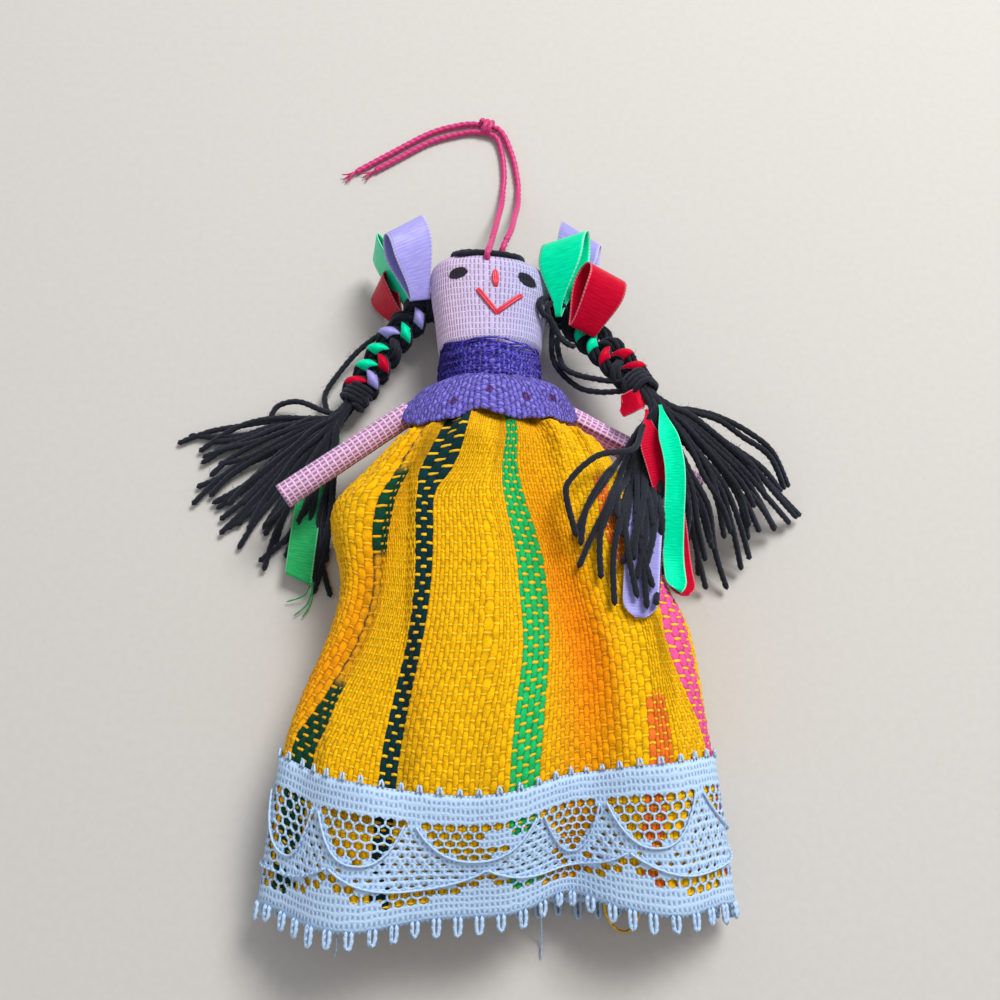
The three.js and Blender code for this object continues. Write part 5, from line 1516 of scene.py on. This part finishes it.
bm = bmesh.new()
dice = random.Random(7)
rows_of_hair = []
for row in range(HAIR_ROWS):
    lean_here = mix(FRONT_ROW, NAPE_ROW, row / (HAIR_ROWS - 1))
    path = [EARS[0]]
    for i in range(1, HAIR_STEPS):
        t = math.radians(mix(-HAIR_SWEEP, HAIR_SWEEP, i / HAIR_STEPS))
        to_side = ease(SIDE_FROM, SIDE_FULL, abs(t))
        lean = math.radians(mix(lean_here, min(lean_here, SIDE_LEAN), to_side))
        way = Vector((math.sin(t), math.cos(t) * math.cos(lean), math.cos(t) * math.sin(lean)))
        found = head_tree.ray_cast(PART, way)[0] or PART
        at = found + way * (HAIR_OUT + dice.uniform(-0.06, 0.1))
        at.z = max(at.z, HAIR_LOWEST)
        path.append(at)
    path.append(EARS[1])
    rows_of_hair.append(thread(bm, path, 0.5, YARN, start=dice.uniform(0, 3), **YARN_LAY))
fibres(bm, rows_of_hair, HAIR_FIBRES, YARN, longest=1.2, dice=dice)
piece(bm, "hair_yarn", yarn, "yarn", ["hair_cap"], "doll")

# %% Routes of the braids
PLAIT_CYCLE = 9.6
PLAIT_WIDE = 1.7
PLAIT_DEEP = 0.85
PLAIT_START = 0.45
BUNDLE = 0.72
BUNDLE_YARNS = 5
BUNDLE_TURN = 14
BRAID_FIBRES = 1100
BRAID_BEND = 2.5
BRAIDS = {  # lead-in, then the route from the ear to the tie
    "left": [
        (-9.3, 34.9, 7.4), (-10.7, 32.8, 6.6), (-14.6, 28.7, 5.2), (-17.5, 24.6, 4.4), (-20.1, 20.4, 3.9),
        (-21.6, 17.9, 3.6)],
    "right": [
        (9.3, 34.9, 7.8), (10.7, 32.8, 7.2), (14.8, 28.3, 7.5), (18.6, 23.4, 9), (21.7, 18.6, 10.8),
        (23.2, 16.3, 11.7)],
}
HINGES = {"left": Vector((-14.6, 28.69, 5.2)), "right": Vector((14.8, 28.29, 7.5))}
LOOSE = {  # yarns that were left out of the plait
    "left": [
        [(-15.2, 30.9, 6), (-16.8, 29.6, 5), (-21, 27.1, 3), (-24.2, 23.6, 2), (-26.4, 19.6, 2),
         (-25.6, 15.9, 3)]],
    "right": [
        [(9.9, 29.5, 8), (9.9, 23, 8), (13.2, 18.7, 8), (16.9, 17.1, 9), (22.4, 16.4, 11.6)],
        [(10.4, 27, 8), (11.6, 21.1, 9), (16.9, 18.7, 10), (21.8, 17.8, 11.4)],
        [(11.8, 31.2, 11.5), (9.9, 31.8, 12), (8.2, 31, 13), (7.6, 29.8, 13.5), (8.2, 28.3, 13),
         (9.3, 27.9, 12.2), (11, 25, 11.2), (12.6, 23.9, 11)],
        [(12.2, 29.8, 11.2), (10.6, 30.8, 12), (9.2, 30.2, 12.6), (8.9, 29, 12.6), (9.8, 26.8, 11.6),
         (11.8, 24.6, 10.6), (13.4, 24, 10.4)]],
}
PATCHES = {  # ribbons that show on the crossings of each plait, counted from the ear
    "left": {2: "lilac", 4: "green", 5: "lilac", 7: "green", 8: "red", 9: "green", 10: "lilac", 11: "red"},
    "right": {4: "lilac", 5: "green", 7: "green", 9: "red", 10: "red", 12: "red"},
}
PATCH_LONG = 2.0
PATCH_SPAN = math.radians(52)
PATCH_OUT = 1.24
PATCH_GRID = (10, 8)


def plait(s, k, path, turns, step):
    """Middle of bundle k at a distance along the braid, with the frame there."""
    i = min(int(s / step), len(path) - 2)
    t = min(s / step - i, 1)
    _, side_way, up = turns[i]
    phase = math.tau * (s / PLAIT_CYCLE + k / 3)
    wide = PLAIT_WIDE * mix(PLAIT_START, 1, ease(0, 3, s))
    middle = path[i].lerp(path[i + 1], t)
    return middle + side_way * wide * math.sin(phase) + up * PLAIT_DEEP * math.sin(2 * phase), side_way, up


# %% Braids
for side in SIDES:
    path = smooth_path(BRAIDS[side], 0.4)
    turns = frames(path)
    step = length_of(path) / (len(path) - 1)
    sign = 1 if turns[0][2].z > 0 else -1
    turns = [(head_way, side_way * sign, up * sign) for head_way, side_way, up in turns]
    bm = bmesh.new()
    strands = []
    for k in range(3):
        for n in range(BUNDLE_YARNS):
            line = []
            for i in range(len(path)):
                middle, side_way, up = plait(i * step, k, path, turns, step)
                spin = math.tau * (n / BUNDLE_YARNS + i * step / BUNDLE_TURN)
                line.append(middle + (side_way * math.cos(spin) + up * math.sin(spin)) * BUNDLE)
            strand(bm, line, YARN, start=n, **YARN_LAY)
            strands.append(line)
    for points in LOOSE[side]:
        strands.append(thread(bm, points, 0.45, YARN, **YARN_LAY))
    fibres(bm, strands, BRAID_FIBRES, YARN, longest=1.3, dice=random.Random(41))
    made = [piece(bm, side + "_braid_yarn", yarn, "yarn", [side + "_braid_root", side + "_braid"])]
    for colour, dyed in SATINS.items():
        bm = bmesh.new()
        for crossing in [j for j, shown in PATCHES[side].items() if shown == colour]:
            bundle = (-crossing // 2 if crossing % 2 == 0 else (3 - crossing) // 2) % 3
            middle_s = PLAIT_CYCLE * (1 / 8 + crossing / 6)

            def patch_place(u, v):
                s = middle_s + (v - 0.5) * PATCH_LONG
                middle, side_way, up = plait(s, bundle, path, turns, step)
                lean = (u - 0.5) * 2 * PATCH_SPAN
                return middle + (up * math.cos(lean) + side_way * math.sin(lean)) * PATCH_OUT

            panel(bm, *PATCH_GRID, patch_place, (1, PATCH_LONG))
        made.append(ribbon(bm, f"{side}_braid_{colour}", dyed, colour))
    hinge = HINGES[side]
    bend = (Vector(BRAIDS[side][3]) - Vector(BRAIDS[side][1])).normalized() * BRAID_BEND
    for each in made:
        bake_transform(each, "doll", side + "_braid", start=(hinge - bend) * MM, end=(hinge + bend) * MM)

# %% Ties
TIE_STEPS = 96
TIE_TURNS = 4.2
TIE_RADIUS = 1.95
TIE_FROM = 0.4
TIE_TO = 3.6

for side in SIDES:
    end, before = Vector(BRAIDS[side][4]), Vector(BRAIDS[side][3])
    along, side_way, up = frames([before, end])[0]
    bm = bmesh.new()
    line = []
    for i in range(TIE_STEPS + 1):
        t = i / TIE_STEPS
        spin = t * TIE_TURNS * math.tau
        out = (side_way * math.cos(spin) + up * math.sin(spin)) * TIE_RADIUS
        line.append(end + along * mix(TIE_FROM, TIE_TO, t) + out)
    strand(bm, line, YARN, **YARN_LAY)
    piece(bm, side + "_tie_yarn", yarn, "yarn", [side + "_braid_tie"], side + "_braid")

# %% Ribbon tails
TAILS = [  # name, colour, side, middle line, width, slant of the cut end
    ("left_green_tail", "green", "left", [
        (-23.8, 15.6, 2.2), (-26.2, 8.7, 1.1), (-28, 2.2, 1.2), (-28.5, -4.4, 2.2), (-28.9, -10.9, 2.6)],
        4.2, 1.6),
    ("right_lilac_tail", "lilac", "right", [
        (24.6, 12.6, 11.2), (23.7, 6, 10.2), (22.9, -1.4, 0), (21.6, -9.4, 0), (20.7, -19.8, 0)], 5.0, 0),
    ("right_red_flap", "red", "right", [
        (23.4, 14.6, 12.6), (22, 14.2, 12.8), (20.9, 13.8, 12.2), (19.8, 13.6, 11.4)], 3.4, 0.8),
    ("right_red_tail", "red", "right", [
        (23.3, 12.2, 13.8), (23.5, 8.4, 14.1), (24.9, 3, 13.3), (26.6, -3.6, 12), (27.3, -9.9, 10.4),
        (27.7, -15.8, 8.8)], 3.7, 0),
    ("right_green_tail", "green", "right", [
        (25.2, 12.6, 14.6), (25.7, 9, 15.4), (26.6, 4.9, 15.1), (26.9, 1.2, 14.6), (26.6, -4.6, 13.4),
        (26.4, -10.2, 12), (26.6, -15.2, 10.8)], 3.0, 0.9),
]
TAIL_COLUMNS = 12
TAIL_STEPS = 60
TAIL_NECK = 0.5
TAIL_FULL = 0.22
TAIL_ROUND = 0.93
TAIL_CUP = 0.25
OVER_SKIRT = 0.5
LIFT_PASSES = 60


def lift_over_skirt(path, ways, wide):
    """Raises a ribbon's middle line where it would lie in the skirt, and eases it down on both sides."""
    last = len(path) - 1
    least = []
    for at, way in zip(path, ways):
        edges = [at + way * off for off in (-wide / 2, 0, wide / 2)]
        under = max(top_of(skirt_tree, edge.x, edge.y) for edge in edges)
        least.append(max(under + OVER_SKIRT - at.z, 0))
    eased = least
    for _ in range(LIFT_PASSES):
        eased = [(eased[max(k - 1, 0)] + eased[k] + eased[min(k + 1, last)]) / 3 for k in range(last + 1)]
        eased = [max(pair) for pair in zip(eased, least)]
    for at, lift in zip(path, eased):
        at.z += lift


for name, colour, side, points, wide, slant in TAILS:
    path = smooth_path(points, length_of([Vector(p) for p in points]) / TAIL_STEPS)
    steps = len(path) - 1
    ways = [side_way for _, side_way, _ in frames(path)]
    lift_over_skirt(path, ways, wide)
    onward = (path[-1] - path[-2]).normalized()

    def tail_place(u, v):
        k = round(v * steps)
        width = mix(TAIL_NECK, wide, ease(0, TAIL_FULL, v))
        if slant <= 1:
            past = max((v - TAIL_ROUND) / (1 - TAIL_ROUND), 0)
            width *= math.sqrt(max(1 - past ** 2, 0.08))
        cup = TAIL_CUP * (2 * u - 1) ** 2 * ease(0, 0.3, v)
        return path[k] + ways[k] * (u - 0.5) * width + UP * cup + onward * slant * (u - 0.5) * v ** 8

    bm = bmesh.new()
    panel(bm, TAIL_COLUMNS, steps, tail_place, (1, length_of(path)))
    if name == "right_lilac_tail":
        lilac_tree = BVHTree.FromBMesh(bm)
    nodes = [] if name == "right_red_flap" else [name]
    # The left green tail takes the darker green: painted shade.
    dyed = shade_painted_green if name == "left_green_tail" else SATINS[colour]
    ribbon(bm, name, dyed, colour, nodes, side + "_tassel")

# %% Loose threads
TAIL_FRAY = [
    [(-27.2, -10.6, 2.6), (-27.2, -11.8, 2.2), (-28.3, -13.2, 1.4), (-31, -13.9, 0.6)],
    [(-26.9, -10.8, 2.6), (-26.9, -12.4, 1.8), (-27.7, -14.4, 1), (-29.7, -16.1, 0.6)],
    [(-26.8, -10.6, 2.6), (-26.8, -12.6, 1.8), (-27.1, -14.4, 1), (-28.4, -16.4, 0.6)],
]
HEM_THREAD = [
    [(15.2, -53, 9.2), (15.5, -56.4, 8), (16.1, -58.4, 5.6), (17.4, -60.1, 2.4), (19, -60.7, 1.2),
     (20.3, -59.7, 2.4), (20.7, -57, 5.6), (20.4, -53, 8.6)],
]
LACE_ENDS = [
    [(7.1, -57.4, 6.4), (7.3, -60, 3), (7.4, -61.8, 1), (7.3, -64.4, 0.4)],
    [(-20.6, -61, 4.4), (-20.7, -63, 3), (-21.2, -64.1, 2)],
]
# The frayed threads of the left tail take the same darker green: painted shade.
for name, threads, thick, cloth, slot, body in (
        ("left_tail_fray", TAIL_FRAY, 0.12, shade_painted_green, "green_satin", "left_tassel"),
        ("hem_thread", HEM_THREAD, 0.2, skirt_cotton, "skirt_cloth", "doll"),
        ("lace_ends", LACE_ENDS, 0.15, lace_cotton, "lace", "doll")):
    bm = bmesh.new()
    for points in threads:
        thread(bm, points, 0.4, thick, pitch=SEWING_TWIST)
    piece(bm, name, cloth, slot, (), body)

# %% Form of the tassels
PIVOTS = {"left": Vector((-23.4, 15.06, 3.27)), "right": Vector((24.96, 13.54, 12.69))}
TIPS = {  # angle and reach, from the pivot, of the ends that stand out
    "left": [
        (-175, 24.6), (-163, 22.6), (-149, 26.6), (-143, 23.9), (-135, 25.9), (-126, 25.8), (-115, 26.7),
        (-97, 28.3), (-92, 28.7)],
    "right": [
        (-26, 23.8), (-30, 22.8), (-41, 25.5), (-52, 23.8), (-59, 26.4), (-66, 28.2), (-73, 26.8),
        (-94, 32.1), (-95, 30), (-96, 32.6), (-97, 28), (-98, 31), (-99, 29), (-101, 26.5), (-103, 33.1),
        (-104, 27), (-109, 30), (-115, 29.5), (-120, 25.6)],
}
STRAYS = {  # one loose yarn of each tassel
    "left": [
        (-23.4, 15.2, 4.4), (-25.9, 15.9, 4), (-30.2, 18, 3), (-33.5, 17.9, 2), (-34.7, 16.2, 2),
        (-34.6, 14.5, 2), (-31.7, 13.6, 2)],
    "right": [
        (24.2, 12.9, 12.8), (22.4, 8.8, 14.2), (20.6, 4.6, 17.4), (15.4, 2.7, 20), (11.5, -0.8, 20.2),
        (10.8, -3.4, 20), (12.2, -9.1, 19.2)],
}
TABLE_REACH = {"left": 24.3, "right": 28}
ARM_REACH = 16.15
ARM_LEVEL = 10.7
YARN_LEVEL = 0.65
YARN_CLEAR = 0.9
PACKED = 0.3


def tassel_height(side, reach, x, y, layer):
    """Height of a yarn end: from the tie down to the table, over the skirt where it lies under it."""
    on_table = YARN_LEVEL + PACKED * layer
    tied = PIVOTS[side].z + layer
    if side == "left":
        return mix(tied, on_table, ease(0, TABLE_REACH[side], reach))
    over = mix(tied, ARM_LEVEL + 0.4 * layer, min(reach / ARM_REACH, 1))
    own = mix(over, on_table, ease(ARM_REACH, TABLE_REACH[side], reach))
    under = max(top_of(skirt_tree, x, y), top_of(lilac_tree, x, y))
    return max(own, under + YARN_CLEAR + PACKED * layer)


# %% Tassels
FILLERS = 34
FILLER_REACH = (20, 27)
DOWN = -88
BOWS = {"left": 0.1, "right": 0.26}
LAYERS = 1.6
CURL = 9
ROOT_SPREAD = (0.9, 0.9, 0.8)
FAN_SHARES = (0.05, 0.2, 0.4, 0.6, 0.8, 1.0)
FAN_JITTER = 0.35
TASSEL_GROOVE = 0.3
TASSEL_FIBRES = 1700
TASSEL_BEND = (2.2, 1.2)

for side in SIDES:
    pivot, end = PIVOTS[side], Vector(BRAIDS[side][4])
    dice = random.Random(23)
    fan = list(TIPS[side])
    low = min(angle for angle, _ in fan)
    high = max(angle for angle, _ in fan)
    for i in range(FILLERS):
        fan.append((mix(low, high, (i + dice.uniform(0.1, 0.9)) / FILLERS), dice.uniform(*FILLER_REACH)))
    bm = bmesh.new()
    strands = []
    for angle, far in fan:
        layer = dice.uniform(0, LAYERS)
        curl = math.radians(dice.uniform(-CURL, CURL))
        path = [end + Vector([dice.uniform(-spread, spread) for spread in ROOT_SPREAD])]
        for share in FAN_SHARES:
            reach = far * share
            bow = BOWS[side] * (angle - DOWN) * (1 - share)
            turn = math.radians(angle + bow) + curl * math.sin(share * math.pi)
            x = pivot.x + reach * math.cos(turn) + dice.uniform(-FAN_JITTER, FAN_JITTER)
            y = pivot.y + reach * math.sin(turn) + dice.uniform(-FAN_JITTER, FAN_JITTER)
            path.append(Vector((x, y, tassel_height(side, reach, x, y, layer))))
        start = dice.uniform(0, 3)
        strands.append(thread(bm, path, 0.5, YARN, groove=TASSEL_GROOVE, start=start, **YARN_LAY))
    strands.append(thread(bm, STRAYS[side], 0.5, YARN, **YARN_LAY))
    fibres(bm, strands, TASSEL_FIBRES, YARN, longest=1.3, dice=dice)
    made = piece(bm, side + "_tassel_yarn", yarn, "yarn", [side + "_tassel"])
    along = (pivot - end).normalized()
    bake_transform(made, side + "_braid", side + "_tassel", start=(pivot - along * TASSEL_BEND[0]) * MM,
             end=(pivot + along * TASSEL_BEND[1]) * MM)

# %% Size
low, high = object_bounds()
